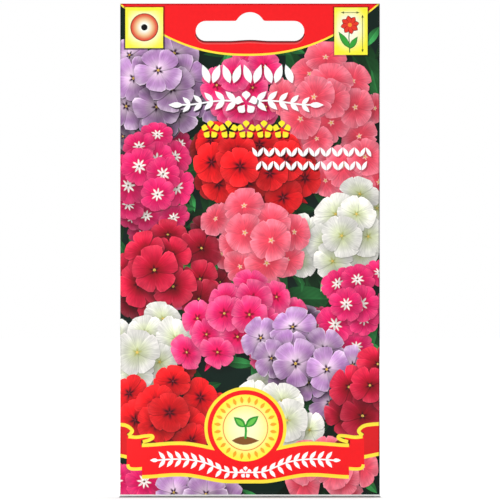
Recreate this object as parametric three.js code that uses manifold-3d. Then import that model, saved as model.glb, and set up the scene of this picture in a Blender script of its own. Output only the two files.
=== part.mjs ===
// A hanging seed packet: one sheet of coated paper, cut, folded and glued into a flat pouch.
//
// The front panel is the full face of the packet. Two back panels hang on its sides and lap over each
// other in a seam down the middle of the back. A narrow flap at the foot folds up over them, and a deeper
// flap at the head folds down over them, so the head is a plain double layer that takes the hang slot.
// Seeds lie loose in a low heap at the foot of the pouch.
//
// Millimetres, +Z up, the front faces -Y. The origin is the crown of the hang slot, midway through the
// packet, where the rail of a display hook bears.

import * as THREE from 'three';
import Module from 'manifold-3d';
import { mergeVertices } from 'three/addons/utils/BufferGeometryUtils.js';

const wasm = await Module();
wasm.setup();

// ---- driving dimensions ----

const packetWidth = 80;
const packetHeight = 152;

const paper = 0.15; // thickness of the sheet
const pitch = 0.3; // from the middle of one layer to the middle of the next
const glueClearance = 0.025; // between a glue film and each sheet beside it

const slotCrownBelowTop = 2.65;
const slotWidth = 33.5;
const slotArmHeight = 6.2;
const slotArmBelowCrown = 2.7;
const slotHumpWidth = 8.4;
const slotHumpFillet = 0.6;
const slotLipRise = 0.33; // of the slot's lower lip, which handling has pushed up in the middle
const slotLipReach = 6.5; // half the length of that rise

const headerHeight = 16; // double layer over the back panels
const topFlapLength = 28;
const bottomFlapLength = 13;
const flapTaper = 2.2; // that each side of a flap draws in along its length
const flapCorner = 3.5; // corner radius of a flap
const panelRelief = 0.5; // that the back panels stand clear of the bottom fold

const lapWidth = 12;
const lapRamp = 2.5; // over which the outer panel climbs onto the inner one
const seamGlueWidth = 8;
const flapGlueInset = 5; // from the sides of the packet to the glue of the flaps

const footHalfGap = 0.3; // from mid-plane to panel at the bottom fold
const footFade = 30; // height over which the foot thins to the side folds
const bellyDepth = 1.25; // that each panel bulges over the flat packet
const bellyRise = 16; // from the foot to the fullest height

const seedLength = 2.6;
const seedBreadth = 1.7;
const seedThickness = 1.2;
const seedColumnPitch = 2.95;
const seedRowPitch = 1.92;
const seedRowCounts = [13, 12, 10, 7];
const seedBed = 8; // from the foot of the packet to the lowest row
const seedTilt = 0.35; // largest turn of a seed in its row, in radians
const seedFromFront = 0.15; // clearance between a seed and the front panel

// ---- derived heights ----

const halfWidth = packetWidth / 2;
const top = slotCrownBelowTop;
const bottom = top - packetHeight;
const topFoldRadius = pitch / 2;
const topFoldLine = top - paper / 2 - topFoldRadius;
const bottomFoldRadius = footHalfGap + pitch;
const bottomFoldLine = bottom + paper / 2 + bottomFoldRadius;
const backTop = top - headerHeight;
const backFoot = bottomFoldLine + panelRelief;
const slotFoot = -slotArmBelowCrown - slotArmHeight;
const flapStep = slotFoot - 0.6; // where the top flap starts to climb over the back panels
const topFlapEnd = top - topFlapLength;
const bottomFlapEnd = bottom + bottomFlapLength;
const bellyCrest = bottom + bellyRise;

const smooth = (value, from, to) => THREE.MathUtils.smoothstep((value - from) / (to - from), 0, 1);
const between = THREE.MathUtils.lerp;

// Half the distance between the front panel and the inner back panel, measured at mid thickness.
function halfGap(x, z) {
  const across = Math.min(1, Math.abs(x) / (halfWidth - topFoldRadius));
  const rising = smooth(z, bottomFoldLine, bellyCrest);
  const falling = 1 - smooth(z, bellyCrest, topFlapEnd);
  const filled = Math.min(rising, falling);
  const foot = (footHalfGap - pitch / 2) * (1 - smooth(z, bottomFoldLine, bottomFoldLine + footFade));
  return pitch / 2 + foot + bellyDepth * filled * (1 - across * across);
}

// The outer back panel, which climbs over the edge of the inner one in the lap.
const outerPanelLift = (x) => pitch * (1 - smooth(x, lapWidth / 2 + 0.5, lapWidth / 2 + 0.5 + lapRamp));
const outerPanelY = (x, z) => halfGap(x, z) + outerPanelLift(x);
const flapY = (x, z) => halfGap(x, z) + 2 * pitch;

// ---- grid lines of the folded sheet ----

function steps(from, to, count) {
  return Array.from({ length: count + 1 }, (_, i) => between(from, to, i / count));
}

// Lines shared by the body, the flaps and the glue, so that neighbouring layers have matching facets.
const footLines = [bottomFoldLine, backFoot, ...steps(backFoot + 1.5, bottomFlapEnd, 7)];
const upperFlapLines = [...steps(topFlapEnd, backTop - 1, 3), backTop];
const bodyLines = [
  ...footLines,
  ...steps(bellyCrest, topFlapEnd, 11),
  ...upperFlapLines.slice(1),
  backTop + panelRelief,
  flapStep,
  topFoldLine,
];
const lapLines = steps(-lapWidth / 2, lapWidth / 2, 4);
const frontLines = steps(-1, 1, 16);
const rampEnd = lapWidth / 2 + 0.5 + lapRamp;
const foldTurns = 4;

// Stations across the blank, from the free edge of the left back panel to that of the right one.
// Each has a zone, and x or a share of the zone's fold or of the front's half width.
function acrossStations() {
  const leftBack = [...lapLines.slice().reverse(), ...steps(-rampEnd, -0.97 * halfWidth, 6)];
  const rightBack = [
    ...steps(0.97 * halfWidth, rampEnd, 6),
    between(rampEnd, lapWidth / 2, 0.5),
    ...lapLines.slice().reverse(),
  ];
  const folds = steps(0, 1, foldTurns);
  return [
    ...leftBack.map((x) => ({ zone: 'leftBack', x })),
    ...folds.slice(0, -1).map((turn) => ({ zone: 'leftFold', turn })),
    ...frontLines.map((share) => ({ zone: 'front', share })),
    ...folds.slice(1).map((turn) => ({ zone: 'rightFold', turn })),
    ...rightBack.map((x) => ({ zone: 'rightBack', x })),
  ];
}

// Stations along the blank, from the free edge of the bottom flap to that of the top flap.
function alongStations() {
  const folds = steps(0, 1, foldTurns);
  const corner = [0, 0.15, 0.5].map((share) => share * flapCorner);
  const bottomFlap = [
    ...corner.map((inset) => bottomFlapEnd - inset),
    ...footLines.slice(1, -2).reverse(),
  ];
  const topFlap = [
    flapStep,
    ...upperFlapLines.slice(1).reverse(),
    ...corner.reverse().map((inset) => topFlapEnd + inset),
  ];
  return [
    ...bottomFlap.map((z) => ({ zone: 'bottomFlap', z })),
    ...folds.slice(0, -1).map((turn) => ({ zone: 'bottomFold', turn })),
    ...bodyLines.map((z) => ({ zone: 'body', z })),
    ...folds.slice(1).map((turn) => ({ zone: 'topFold', turn })),
    ...topFlap.map((z) => ({ zone: 'topFlap', z })),
  ];
}

// Half the width of a flap at a distance from its fold: it tapers, and its corners are round.
function flapHalfWidth(fromFold, length) {
  const fromEnd = length - fromFold;
  const straight = halfWidth - (flapTaper * fromFold) / length;
  if (fromEnd >= flapCorner) return straight;
  const rest = flapCorner - fromEnd;
  return straight - flapCorner + Math.sqrt(flapCorner * flapCorner - rest * rest);
}

// ---- folding ----

function foldedBody(across, z) {
  const sideRadius = halfGap(halfWidth, z);
  const foldAxis = halfWidth - paper / 2 - sideRadius;
  if (across.zone === 'front') {
    const hasCutSides = z > backTop || z < backFoot;
    const x = across.share * (hasCutSides ? halfWidth : foldAxis);
    return new THREE.Vector3(x, -halfGap(x, z), z);
  }
  if (across.zone === 'leftBack') return new THREE.Vector3(across.x, halfGap(across.x, z), z);
  if (across.zone === 'rightBack') return new THREE.Vector3(across.x, outerPanelY(across.x, z), z);
  const angle = across.turn * Math.PI;
  const side = across.zone === 'rightFold' ? 1 : -1;
  const x = side * (foldAxis + sideRadius * Math.sin(angle));
  return new THREE.Vector3(x, -side * sideRadius * Math.cos(angle), z);
}

function foldedFlap(across, along) {
  const share = across.share;
  if (along.zone === 'topFold') {
    const angle = along.turn * Math.PI;
    const y = -topFoldRadius * Math.cos(angle);
    return new THREE.Vector3(share * halfWidth, y, topFoldLine + topFoldRadius * Math.sin(angle));
  }
  if (along.zone === 'bottomFold') {
    const angle = along.turn * Math.PI;
    const y = pitch + bottomFoldRadius * Math.cos(angle);
    return new THREE.Vector3(share * halfWidth, y, bottomFoldLine - bottomFoldRadius * Math.sin(angle));
  }
  if (along.zone === 'bottomFlap') {
    const x = share * flapHalfWidth(along.z - bottom, bottomFlapLength);
    return new THREE.Vector3(x, flapY(x, along.z), along.z);
  }
  const x = share * flapHalfWidth(top - along.z, topFlapLength);
  const climbed = 1 - smooth(along.z, backTop, flapStep);
  return new THREE.Vector3(x, between(pitch / 2, flapY(x, along.z), climbed), along.z);
}

// ---- closed solids from two skins ----

// Joins two grids of points into one closed body. Cells that are off leave a cut edge with a rim.
function closedBody(outer, inner, isOn) {
  const rows = outer.length;
  const columns = outer[0].length;
  const cellOn = (i, j) => i >= 0 && j >= 0 && i < rows - 1 && j < columns - 1 && isOn(i, j);
  const positions = [];
  const triangle = (a, b, c) => positions.push(...a.toArray(), ...b.toArray(), ...c.toArray());
  const rim = (i, j, k, l) => {
    triangle(outer[k][l], outer[i][j], inner[i][j]);
    triangle(outer[k][l], inner[i][j], inner[k][l]);
  };
  for (let i = 0; i < rows - 1; i++) {
    for (let j = 0; j < columns - 1; j++) {
      if (!cellOn(i, j)) continue;
      triangle(outer[i][j], outer[i][j + 1], outer[i + 1][j + 1]);
      triangle(outer[i][j], outer[i + 1][j + 1], outer[i + 1][j]);
      triangle(inner[i][j], inner[i + 1][j + 1], inner[i][j + 1]);
      triangle(inner[i][j], inner[i + 1][j], inner[i + 1][j + 1]);
      if (!cellOn(i - 1, j)) rim(i, j, i, j + 1);
      if (!cellOn(i + 1, j)) rim(i + 1, j + 1, i + 1, j);
      if (!cellOn(i, j - 1)) rim(i + 1, j, i, j);
      if (!cellOn(i, j + 1)) rim(i, j + 1, i + 1, j + 1);
    }
  }
  const geometry = new THREE.BufferGeometry();
  geometry.setAttribute('position', new THREE.Float32BufferAttribute(positions, 3));
  return mergeVertices(geometry, 1e-4);
}

// Unit normals of a grid of points, averaged over the cells that are on around each point.
function gridNormals(points, isOn) {
  const normals = points.map((row) => row.map(() => new THREE.Vector3()));
  const along = new THREE.Vector3();
  const across = new THREE.Vector3();
  for (let i = 0; i < points.length - 1; i++) {
    for (let j = 0; j < points[0].length - 1; j++) {
      if (!isOn(i, j)) continue;
      across.subVectors(points[i + 1][j + 1], points[i][j]);
      along.subVectors(points[i + 1][j], points[i][j + 1]);
      const facing = across.cross(along).normalize();
      for (const [k, l] of [[i, j], [i + 1, j], [i, j + 1], [i + 1, j + 1]]) normals[k][l].add(facing);
    }
  }
  return normals.map((row) => row.map((normal) => normal.normalize()));
}

// ---- booleans ----

function toManifold(geometry) {
  const bare = geometry.clone();
  bare.deleteAttribute('normal');
  bare.deleteAttribute('uv');
  const merged = mergeVertices(bare, 1e-4);
  return new wasm.Manifold(
    new wasm.Mesh({
      numProp: 3,
      vertProperties: new Float32Array(merged.attributes.position.array),
      triVerts: new Uint32Array(merged.index.array),
    }),
  );
}

function toGeometry(manifold) {
  const mesh = manifold.getMesh();
  const geometry = new THREE.BufferGeometry();
  geometry.setAttribute('position', new THREE.BufferAttribute(mesh.vertProperties, 3));
  geometry.setIndex(new THREE.BufferAttribute(mesh.triVerts, 1));
  return geometry;
}

// ---- the sheet ----

// The hang slot: a long arm with round ends, and a hump in the middle that centres the packet on its hook.
function slotOutline() {
  const armTop = -slotArmBelowCrown;
  const armRadius = slotArmHeight / 2;
  const armEnd = slotWidth / 2 - armRadius;
  const humpHalf = slotHumpWidth / 2;
  const humpRadius = (humpHalf * humpHalf + slotArmBelowCrown * slotArmBelowCrown) / (2 * slotArmBelowCrown);
  const humpCentre = -humpRadius;
  const humpAngle = Math.asin(humpHalf / humpRadius) * 0.88;
  const humpX = humpRadius * Math.sin(humpAngle);
  const humpZ = humpCentre + humpRadius * Math.cos(humpAngle);
  const outline = new THREE.Shape();
  outline.moveTo(armEnd, slotFoot);
  outline.absarc(armEnd, slotFoot + armRadius, armRadius, -Math.PI / 2, Math.PI / 2, false);
  outline.lineTo(humpHalf + slotHumpFillet, armTop);
  outline.quadraticCurveTo(humpHalf, armTop, humpX, humpZ);
  outline.absarc(0, humpCentre, humpRadius, Math.PI / 2 - humpAngle, Math.PI / 2 + humpAngle, false);
  outline.quadraticCurveTo(-humpHalf, armTop, -humpHalf - slotHumpFillet, armTop);
  outline.lineTo(-armEnd, armTop);
  outline.absarc(-armEnd, slotFoot + armRadius, armRadius, Math.PI / 2, (3 * Math.PI) / 2, false);
  for (const x of steps(-slotLipReach, slotLipReach, 12)) {
    outline.lineTo(x, slotFoot + slotLipRise * (1 - smooth(Math.abs(x), 0, slotLipReach)));
  }
  return outline;
}

function slotCutter() {
  const depth = 4;
  const prism = new THREE.ExtrudeGeometry(slotOutline(), { depth, bevelEnabled: false, curveSegments: 7 });
  prism.rotateX(Math.PI / 2);
  prism.translate(0, depth / 2, 0);
  return prism;
}

function foldedSheet() {
  const across = acrossStations();
  const along = alongStations();
  const isFront = (j) => across[j].zone === 'front' && across[j + 1].zone === 'front';
  const isBody = (i) => along[i].zone === 'body' && along[i + 1].zone === 'body';
  const underFlaps = (i) => isBody(i) && along[i].z >= backFoot - 1e-6 && along[i + 1].z <= backTop + 1e-6;
  const isOn = (i, j) => isFront(j) || underFlaps(i);
  const points = along.map((row) =>
    across.map((column) => {
      if (row.zone === 'body') return foldedBody(column, row.z);
      return column.zone === 'front' ? foldedFlap(column, row) : new THREE.Vector3();
    }),
  );
  const normals = gridNormals(points, isOn);
  const offset = (i, j, by) => points[i][j].clone().addScaledVector(normals[i][j], by);
  const skin = (by) => points.map((row, i) => row.map((_, j) => offset(i, j, by)));
  const sheet = toManifold(closedBody(skin(paper / 2), skin(-paper / 2), isOn));
  return toGeometry(sheet.subtract(toManifold(slotCutter())));
}

// ---- glue ----

// A film between two layers, given the heights of the layers' facing skins.
function glueFilm(xs, zs, skinBelow, skinAbove) {
  const grid = (height) => zs.map((z) => xs.map((x) => new THREE.Vector3(x, height(x, z), z)));
  const lower = grid((x, z) => skinBelow(x, z) + glueClearance);
  const upper = grid((x, z) => skinAbove(x, z) - glueClearance);
  return closedBody(lower, upper, () => true);
}

function seamGlue() {
  const xs = steps(-seamGlueWidth / 2, seamGlueWidth / 2, 2);
  const zs = bodyLines.filter((z) => z >= backFoot - 1e-6 && z <= backTop + 1e-6).slice(1, -1);
  return glueFilm(xs, zs, (x, z) => halfGap(x, z) + paper / 2, (x, z) => outerPanelY(x, z) - paper / 2);
}

function flapGlue(zs) {
  const reach = halfWidth - flapGlueInset;
  const lapEdge = -lapWidth / 2;
  const xs = [
    ...steps(-reach, lapEdge - 1.5, 6),
    lapEdge - 0.3,
    ...lapLines,
    between(lapWidth / 2, rampEnd, 0.5),
    ...steps(rampEnd, reach, 6),
  ];
  const lift = (x) => (x < lapEdge - 0.2 ? 0 : outerPanelLift(x));
  return glueFilm(xs, zs, (x, z) => halfGap(x, z) + lift(x) + paper / 2, (x, z) => flapY(x, z) - paper / 2);
}

// ---- seeds ----

// The seeds lie in a low heap, row on row, each turned a little and lying against the front panel.
function seedPlaces() {
  const places = [];
  let turn = 0;
  seedRowCounts.forEach((count, row) => {
    const z = bottom + seedBed + row * seedRowPitch;
    for (let k = 0; k < count; k++) {
      const x = (k - (count - 1) / 2) * seedColumnPitch;
      turn += 2.4; // golden-angle steps leave no pattern in the turns
      const y = -halfGap(x, z) + paper / 2 + seedFromFront + seedThickness / 2;
      places.push({ x, y: Math.min(y, 0), z, tilt: seedTilt * Math.sin(turn) });
    }
  });
  return places;
}

// ---- materials and assembly ----

const finish = (color, roughness) => new THREE.MeshStandardMaterial({ color, roughness, metalness: 0 });
const printedPaper = finish(0xd8465a, 0.4);
const glue = finish(0xe9e2c8, 0.5);
const seedCoat = finish(0x5f4630, 0.85);

const packet = new THREE.Group();

function add(name, geometry, material) {
  const mesh = new THREE.Mesh(geometry, material);
  mesh.name = name;
  packet.add(mesh);
  return mesh;
}

add('paper_packet', foldedSheet(), printedPaper);
add('seam_glue', seamGlue(), glue);
add('bottom_flap_glue', flapGlue(footLines.slice(2, -1)), glue);
add('top_flap_glue', flapGlue(upperFlapLines.slice(0, -2)), glue);

const seedShape = new THREE.SphereGeometry(0.5, 7, 5);
seedPlaces().forEach((place, i) => {
  const seed = add(`seed_${String(i + 1).padStart(2, '0')}`, seedShape, seedCoat);
  seed.scale.set(seedLength, seedThickness, seedBreadth);
  seed.rotation.y = place.tilt;
  seed.position.set(place.x, place.y, place.z);
});

export default packet;
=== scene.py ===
# %% [markdown]
# # A hanging seed packet
#
# The object is a flat paper packet of flower seeds, hung by the slot in its head. It is one sheet of coated
# paper: printed flat, cut to a blank, folded round a pouch and glued. This file makes it in the same order.
# The artwork is laid out on the flat blank, the blank is cut into small faces, and those are folded up.
# The rigid model is loaded first, and stays where it is. It gives the size and place of everything.

# %% Load the packed model
import math
import random

import bpy
import numpy as np
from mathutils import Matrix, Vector
from mathutils.bvhtree import BVHTree
from mathutils.geometry import delaunay_2d_cdt


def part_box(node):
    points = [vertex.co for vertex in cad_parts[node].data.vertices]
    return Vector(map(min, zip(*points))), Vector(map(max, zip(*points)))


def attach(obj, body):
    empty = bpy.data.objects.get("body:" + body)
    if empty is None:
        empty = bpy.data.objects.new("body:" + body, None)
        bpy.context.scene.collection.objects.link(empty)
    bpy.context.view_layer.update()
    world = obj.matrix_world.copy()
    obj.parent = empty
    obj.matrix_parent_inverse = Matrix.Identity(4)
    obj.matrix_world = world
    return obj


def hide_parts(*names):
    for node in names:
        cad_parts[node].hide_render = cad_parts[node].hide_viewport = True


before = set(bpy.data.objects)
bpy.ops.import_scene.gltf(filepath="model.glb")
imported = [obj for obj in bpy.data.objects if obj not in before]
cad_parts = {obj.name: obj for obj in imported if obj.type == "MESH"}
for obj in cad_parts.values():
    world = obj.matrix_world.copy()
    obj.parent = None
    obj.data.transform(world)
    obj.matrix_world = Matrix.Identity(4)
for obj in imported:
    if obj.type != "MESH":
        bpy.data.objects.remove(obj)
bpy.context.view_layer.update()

print("nodes in the frame:", len(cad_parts))

# %% [markdown]
# ## Sizes
#
# Drawing and folding are done in millimetres, as a printer would, and a mesh is then made in metres. The
# outer size comes from the packet's own node, so the artwork always ends where the sheet does. The paper,
# the folds and the pouch repeat the solid's own values, so the fine sheet lies where the solid lies.

# %% Sizes
MM = 0.001
low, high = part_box("paper_packet")
HALF = high[0] / MM  # half the packet's width
TOP = high[2] / MM
BOTTOM = low[2] / MM
HEIGHT = TOP - BOTTOM

PAPER = 0.15  # thickness of the sheet
PITCH = 0.3  # from the middle of one layer to the middle of the next
HEADER = 16.0  # height of the head above the back panels
TOP_FLAP = 28.0
BOTTOM_FLAP = 13.0
FLAP_TAPER = 2.2  # that each side of a flap draws in along its length
FLAP_CORNER = 3.5
FLAP_STEP = -9.65  # z where the top flap starts to climb over the back panels
PANEL_RELIEF = 0.5  # that the back panels stand clear of the bottom fold
LAP = 12.0  # width over which the back panels overlap
LAP_EASE = 0.5  # from the inner panel's edge to the ramp of the outer one
LAP_RAMP = 2.5  # over which the outer panel climbs onto the inner one
FOOT_HALF_GAP = 0.3  # from the pouch's middle to a panel at the bottom fold
FOOT_FADE = 30.0  # height over which the foot thins to the side folds
BELLY = 1.25  # that each panel bulges over the flat packet
BELLY_RISE = 16.0  # from the foot to the fullest height

TOP_FOLD_RADIUS = PITCH / 2
TOP_FOLD_LINE = TOP - PAPER / 2 - TOP_FOLD_RADIUS
BOTTOM_FOLD_RADIUS = FOOT_HALF_GAP + PITCH
BOTTOM_FOLD_LINE = BOTTOM + PAPER / 2 + BOTTOM_FOLD_RADIUS
BACK_TOP = TOP - HEADER
BACK_FOOT = BOTTOM_FOLD_LINE + PANEL_RELIEF
print(f"packet {2 * HALF:.1f} x {HEIGHT:.1f} mm")

# %% [markdown]
# ## The camera
#
# The packet is seen straight from the front, as on a scanner or from far away: its sides are parallel. An
# orthographic camera could do that. A long lens from nearly a metre does it too, and still works as a normal
# camera when it is moved to other views.

# %% Camera
FRAME_HEIGHT = 154.2  # millimetres of the packet's plane that the picture is tall
LENS = 200.0
SENSOR = 36.0
DISTANCE = FRAME_HEIGHT / SENSOR * LENS
camera_data = bpy.data.cameras.new("camera")
camera_data.lens = LENS
camera_data.sensor_width = SENSOR
camera_data.clip_start = 0.01
camera = bpy.data.objects.new("camera", camera_data)
camera.location = (0, -DISTANCE * MM, (TOP + BOTTOM) / 2 * MM)
camera.rotation_euler = (math.pi / 2, 0, 0)
bpy.context.scene.collection.objects.link(camera)
bpy.context.scene.camera = camera
print(f"camera {DISTANCE:.0f} mm in front of the packet")

# %% [markdown]
# ## Folding
#
# A machine folds and glues the real sheet round the seeds. It could be folded here by a cloth simulation,
# but glued paper is stiff and ends at exact sizes, so a formula does it better. A point of the blank has two
# coordinates: u, its distance from the middle line, and v, its height over the packet's foot, both measured
# along the paper. The front is flat but for the pouch's slight belly. All layers share one faint ripple, so
# they never cross, as glued paper doesn't.

# %% Waves of the sheet
WAVES = (  # height of a wave, its length across and up the packet, and its phase
    (0.05, 11, 37, 0.6),
    (0.045, -29, 14, 1.9),
    (0.02, 5.3, -9.1, 0.0),
)


def smooth(value, start, end):
    """0 up to start and 1 from end on, with a soft rise between them."""
    t = np.clip((value - start) / (end - start), 0, 1)
    return t * t * (3 - 2 * t)


def ripple(x, z):
    """The sheet's slow waves, in millimetres: none at the hang slot, more over the pouch."""
    waves = sum(height * np.sin(x / across + z / up + phase) for height, across, up, phase in WAVES)
    return waves * smooth(z, -9, -40) * smooth(z, BOTTOM, BOTTOM + 8)


print(f"highest possible wave: {sum(height for height, *_ in WAVES):.3f} mm")

# %% Belly of the pouch
def pucker(x, z):
    """Small creases that run in from the side folds, where the flat sheet has to bulge."""
    edge = smooth(np.abs(x), 16, 33) * smooth(np.abs(x), HALF, 36)
    creases = 0.05 * np.sin(z / 2.9 + 0.05 * np.abs(x) ** 1.2) + 0.03 * np.sin(z / 1.7 + x / 9)
    return edge * creases * smooth(z, -50, -100) * smooth(z, BOTTOM + 2, BOTTOM + 14)


def half_gap(x, z):
    """From the pouch's middle plane to a panel: least at the folds, most at the belly's crest."""
    across = np.minimum(1, np.abs(x) / (HALF - TOP_FOLD_RADIUS))
    crest = BOTTOM + BELLY_RISE
    filled = np.minimum(smooth(z, BOTTOM_FOLD_LINE, crest), 1 - smooth(z, crest, TOP - TOP_FLAP))
    foot = (FOOT_HALF_GAP - PITCH / 2) * (1 - smooth(z, BOTTOM_FOLD_LINE, BOTTOM_FOLD_LINE + FOOT_FADE))
    return PITCH / 2 + foot + BELLY * filled * (1 - across * across) + pucker(x, z)


def lap_lift(x):
    """That the outer back panel lies behind the inner one."""
    return PITCH * (1 - smooth(x, LAP / 2 + LAP_EASE, LAP / 2 + LAP_EASE + LAP_RAMP))


print(f"panels {2 * half_gap(0.0, BOTTOM + BELLY_RISE):.2f} mm apart at the belly's crest")

# %% [markdown]
# ## Side folds, head and foot
#
# At each side the paper turns through half a circle into a back panel, and at the head and the foot into a
# flap. Above and below the back panels nothing is folded, so the front ends there in a plain cut edge. Each
# function takes whole arrays of points at once, which keeps the folding of the fine sheet quick.

# %% Fold the front and the back panels
CUT_FADE = 0.5  # height over which a side fold gives way to a cut edge


def side_fold(z):
    """The fold's radius at a height, and how far from the middle its turn begins."""
    radius = half_gap(np.full_like(z, HALF), z)
    return radius, HALF - PAPER / 2 - radius


def fold_body(u, z):
    """Carries blank coordinates between head and foot to the packet's x and y."""
    radius, axis = side_fold(z)
    side = np.sign(u)
    reach = np.abs(u)
    turn = np.clip((reach - axis) / radius, 0, math.pi)
    past = np.maximum(reach - axis - math.pi * radius, 0)
    x = side * (np.minimum(reach, axis) + radius * np.sin(turn) - past)
    on_back = turn >= math.pi
    y_back = half_gap(x, z) + np.where(side > 0, lap_lift(x), 0)
    y = np.where(on_back, y_back, np.where(turn > 0, -radius * np.cos(turn), -half_gap(x, z)))
    above, below = smooth(z, BACK_TOP, BACK_TOP + CUT_FADE), smooth(z, BACK_FOOT, BACK_FOOT - CUT_FADE)
    cut_sides = np.maximum(above, below) * (reach <= HALF + 0.01)
    return x + (u - x) * cut_sides, y + (-half_gap(u, z) - y) * cut_sides


for end, z in (("foot", BACK_FOOT), ("head", BACK_TOP)):
    print(f"side folds at the {end}: radius {side_fold(z)[0]:.2f} mm")

# %% Fold the flaps
FIRST = BOTTOM_FOLD_LINE - BOTTOM  # v where the bottom fold begins
LAST = TOP_FOLD_LINE - BOTTOM  # v where the top fold begins
BOTTOM_TURN = math.pi * BOTTOM_FOLD_RADIUS
TOP_TURN = math.pi * TOP_FOLD_RADIUS


def fold(u, v):
    """Carries blank coordinates to the packet's middle surface, all in millimetres."""
    low_angle = np.clip((FIRST - v) / BOTTOM_FOLD_RADIUS, 0, math.pi)
    low_past = np.maximum(FIRST - v - BOTTOM_TURN, 0)
    high_angle = np.clip((v - LAST) / TOP_FOLD_RADIUS, 0, math.pi)
    high_past = np.maximum(v - LAST - TOP_TURN, 0)
    body_z = BOTTOM + np.clip(v, FIRST, LAST)
    x, y = fold_body(u, body_z)
    z = body_z - BOTTOM_FOLD_RADIUS * np.sin(low_angle) + low_past
    z = z + TOP_FOLD_RADIUS * np.sin(high_angle) - high_past
    on_flap = (low_angle > 0) | (high_angle > 0)
    x = np.where(on_flap, u, x)
    over_panels = half_gap(x, z) + 2 * PITCH
    climbed = smooth(z, FLAP_STEP, BACK_TOP)
    y = np.where(low_angle > 0, PITCH - BOTTOM_FOLD_RADIUS * np.cos(low_angle), y)
    y = np.where(low_past > 0, over_panels, y)
    y = np.where(high_angle > 0, -TOP_FOLD_RADIUS * np.cos(high_angle), y)
    y = np.where(high_past > 0, PITCH / 2 + (over_panels - PITCH / 2) * climbed, y)
    return np.stack([x, y + ripple(x, z), z], axis=-1)


def facing(u, v, step=0.01):
    """The unit normal of the printed side, from the slope of the folded surface."""
    across = fold(u + step, v) - fold(u - step, v)
    along = fold(u, v + step) - fold(u, v - step)
    normal = np.cross(across, along)
    return normal / np.linalg.norm(normal, axis=-1, keepdims=True)


print("middle of the front folds to", fold(np.array([0.0]), np.array([HEIGHT / 2])).round(2))

# %% [markdown]
# ## Drawing tools
#
# A picture file would be the usual way to print a sheet. Here the artwork is drawn in code, as a stack of
# flat outlines, like cut paper laid on the blank: the topmost one that covers a spot gives it its ink.
# Petals and leaves also carry a small frame of their own, in which the material draws their veins and
# hearts. A shadow is an outline that darkens what lies under it. Edges stay sharp however close one looks.

# %% Inks
def ink(red, green, blue):
    """A screen colour, 0 to 255 each, as linear light for the renderer."""
    shares = np.array([red, green, blue]) / 255
    return np.where(shares <= 0.04045, shares / 12.92, ((shares + 0.055) / 1.055) ** 2.4)


NO_INK = ink(0, 0, 0)
print("black is", NO_INK, "and white is", ink(255, 255, 255))

# %% Artwork as a stack of outlines
plates = []


class Plate:
    """One outline of the artwork, with its ink, its own frame, and the marks that its finish reads."""

    def __init__(self, outline, look, colour, marks):
        self.outline = outline
        self.look = look
        self.colour = colour
        self.marks = marks
        self.order = len(plates)
        self.origin = np.zeros(2)
        self.local = np.zeros((2, 2))


def lay(outline, colour=NO_INK, look="flat", **marks):
    """Lays an outline on the stack. All of them run anticlockwise, which the cutting needs."""
    outline = np.asarray(outline, dtype=float)
    ahead = np.roll(outline, -1, axis=0)
    area = np.sum(outline[:, 0] * ahead[:, 1] - outline[:, 1] * ahead[:, 0])
    plates.append(Plate(outline[::-1] if area < 0 else outline, look, colour, marks))
    return plates[-1]


def report(what, since):
    print(f"{what}: {len(plates) - since} outlines")


print("plates before the first step:", len(plates))

# %% Points and directions
def pairs(first, second):
    """Points from their two coordinates."""
    return np.stack([first, second], axis=-1)


def heading(angle):
    """The way that an angle points, one unit long."""
    return np.array([math.cos(angle), math.sin(angle)])


def turning(angle):
    """The matrix that turns a point by an angle."""
    return np.array([[math.cos(angle), -math.sin(angle)], [math.sin(angle), math.cos(angle)]])


print("a quarter turn carries (1, 0) to", (turning(math.pi / 2) @ [1, 0]).round(3))

# %% Shapes to lay
def disc(centre, radius, count=40):
    angles = np.arange(count) / count * math.tau
    return pairs(centre[0] + radius * np.cos(angles), centre[1] + radius * np.sin(angles))


def rectangle(left, bottom, right, top):
    return np.array([[left, bottom], [right, bottom], [right, top], [left, top]])


def leaf_outline(base, tip, width, count=7, belly=0.45):
    """A pointed blade from base to tip, widest at the share belly of its length."""
    base, tip = np.array(base, dtype=float), np.array(tip, dtype=float)
    along = tip - base
    side = np.array([-along[1], along[0]]) / np.linalg.norm(along)
    shares = np.arange(1, count) / count
    power = math.log(0.5) / math.log(belly)
    halves = width / 2 * np.sin(math.pi * shares**power)
    left = [base + s * along + h * side for s, h in zip(shares, halves)]
    right = [base + s * along - h * side for s, h in zip(shares, halves)]
    return np.array([base, *right, tip, *left[::-1]])


print("points of a disc and a leaf:", len(disc((0, 0), 1)), len(leaf_outline((0, 0), (1, 0), 1)))

# %% Lines to lay
def stroke(points, width):
    """A line of even width along a polyline."""
    points = np.asarray(points, dtype=float)
    ahead = np.gradient(points, axis=0)
    side = pairs(-ahead[:, 1], ahead[:, 0])
    side = side / np.linalg.norm(side, axis=1, keepdims=True) * width / 2
    return np.concatenate([points - side, (points + side)[::-1]])


def bend(points, steps=4):
    """A smooth curve through points."""
    points = np.array(points, dtype=float)
    padded = np.concatenate([[2 * points[0] - points[1]], points, [2 * points[-1] - points[-2]]])
    curve = []
    for k in range(1, len(padded) - 2):
        a, b, c, d = padded[k - 1 : k + 3]
        for t in np.arange(steps) / steps:
            curve.append(b + 0.5 * t * (c - a + t * (2 * a - 5 * b + 4 * c - d + t * (3 * (b - c) + d - a))))
    return np.array([*curve, padded[-2]])


print("points of a bend through four:", len(bend([(0, 0), (1, 0), (2, 1), (3, 1)])))

# %% [markdown]
# ## The blank
#
# The blank is the flat shape that the die cuts: the front, a back panel at each side, and a tapered flap
# with round corners at head and foot. It could be unfolded from the solid, but is simpler to draw from the
# sizes, as a packet maker does. The hang slot is cut in the front and, mirrored in the top fold, in the
# flap.

# %% Cut the blank
CORNER_STEPS = (1.0, 0.7, 0.45, 0.25, 0.1, 0.02, 0.0)  # of a flap's round corner, as shares of its radius


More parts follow.
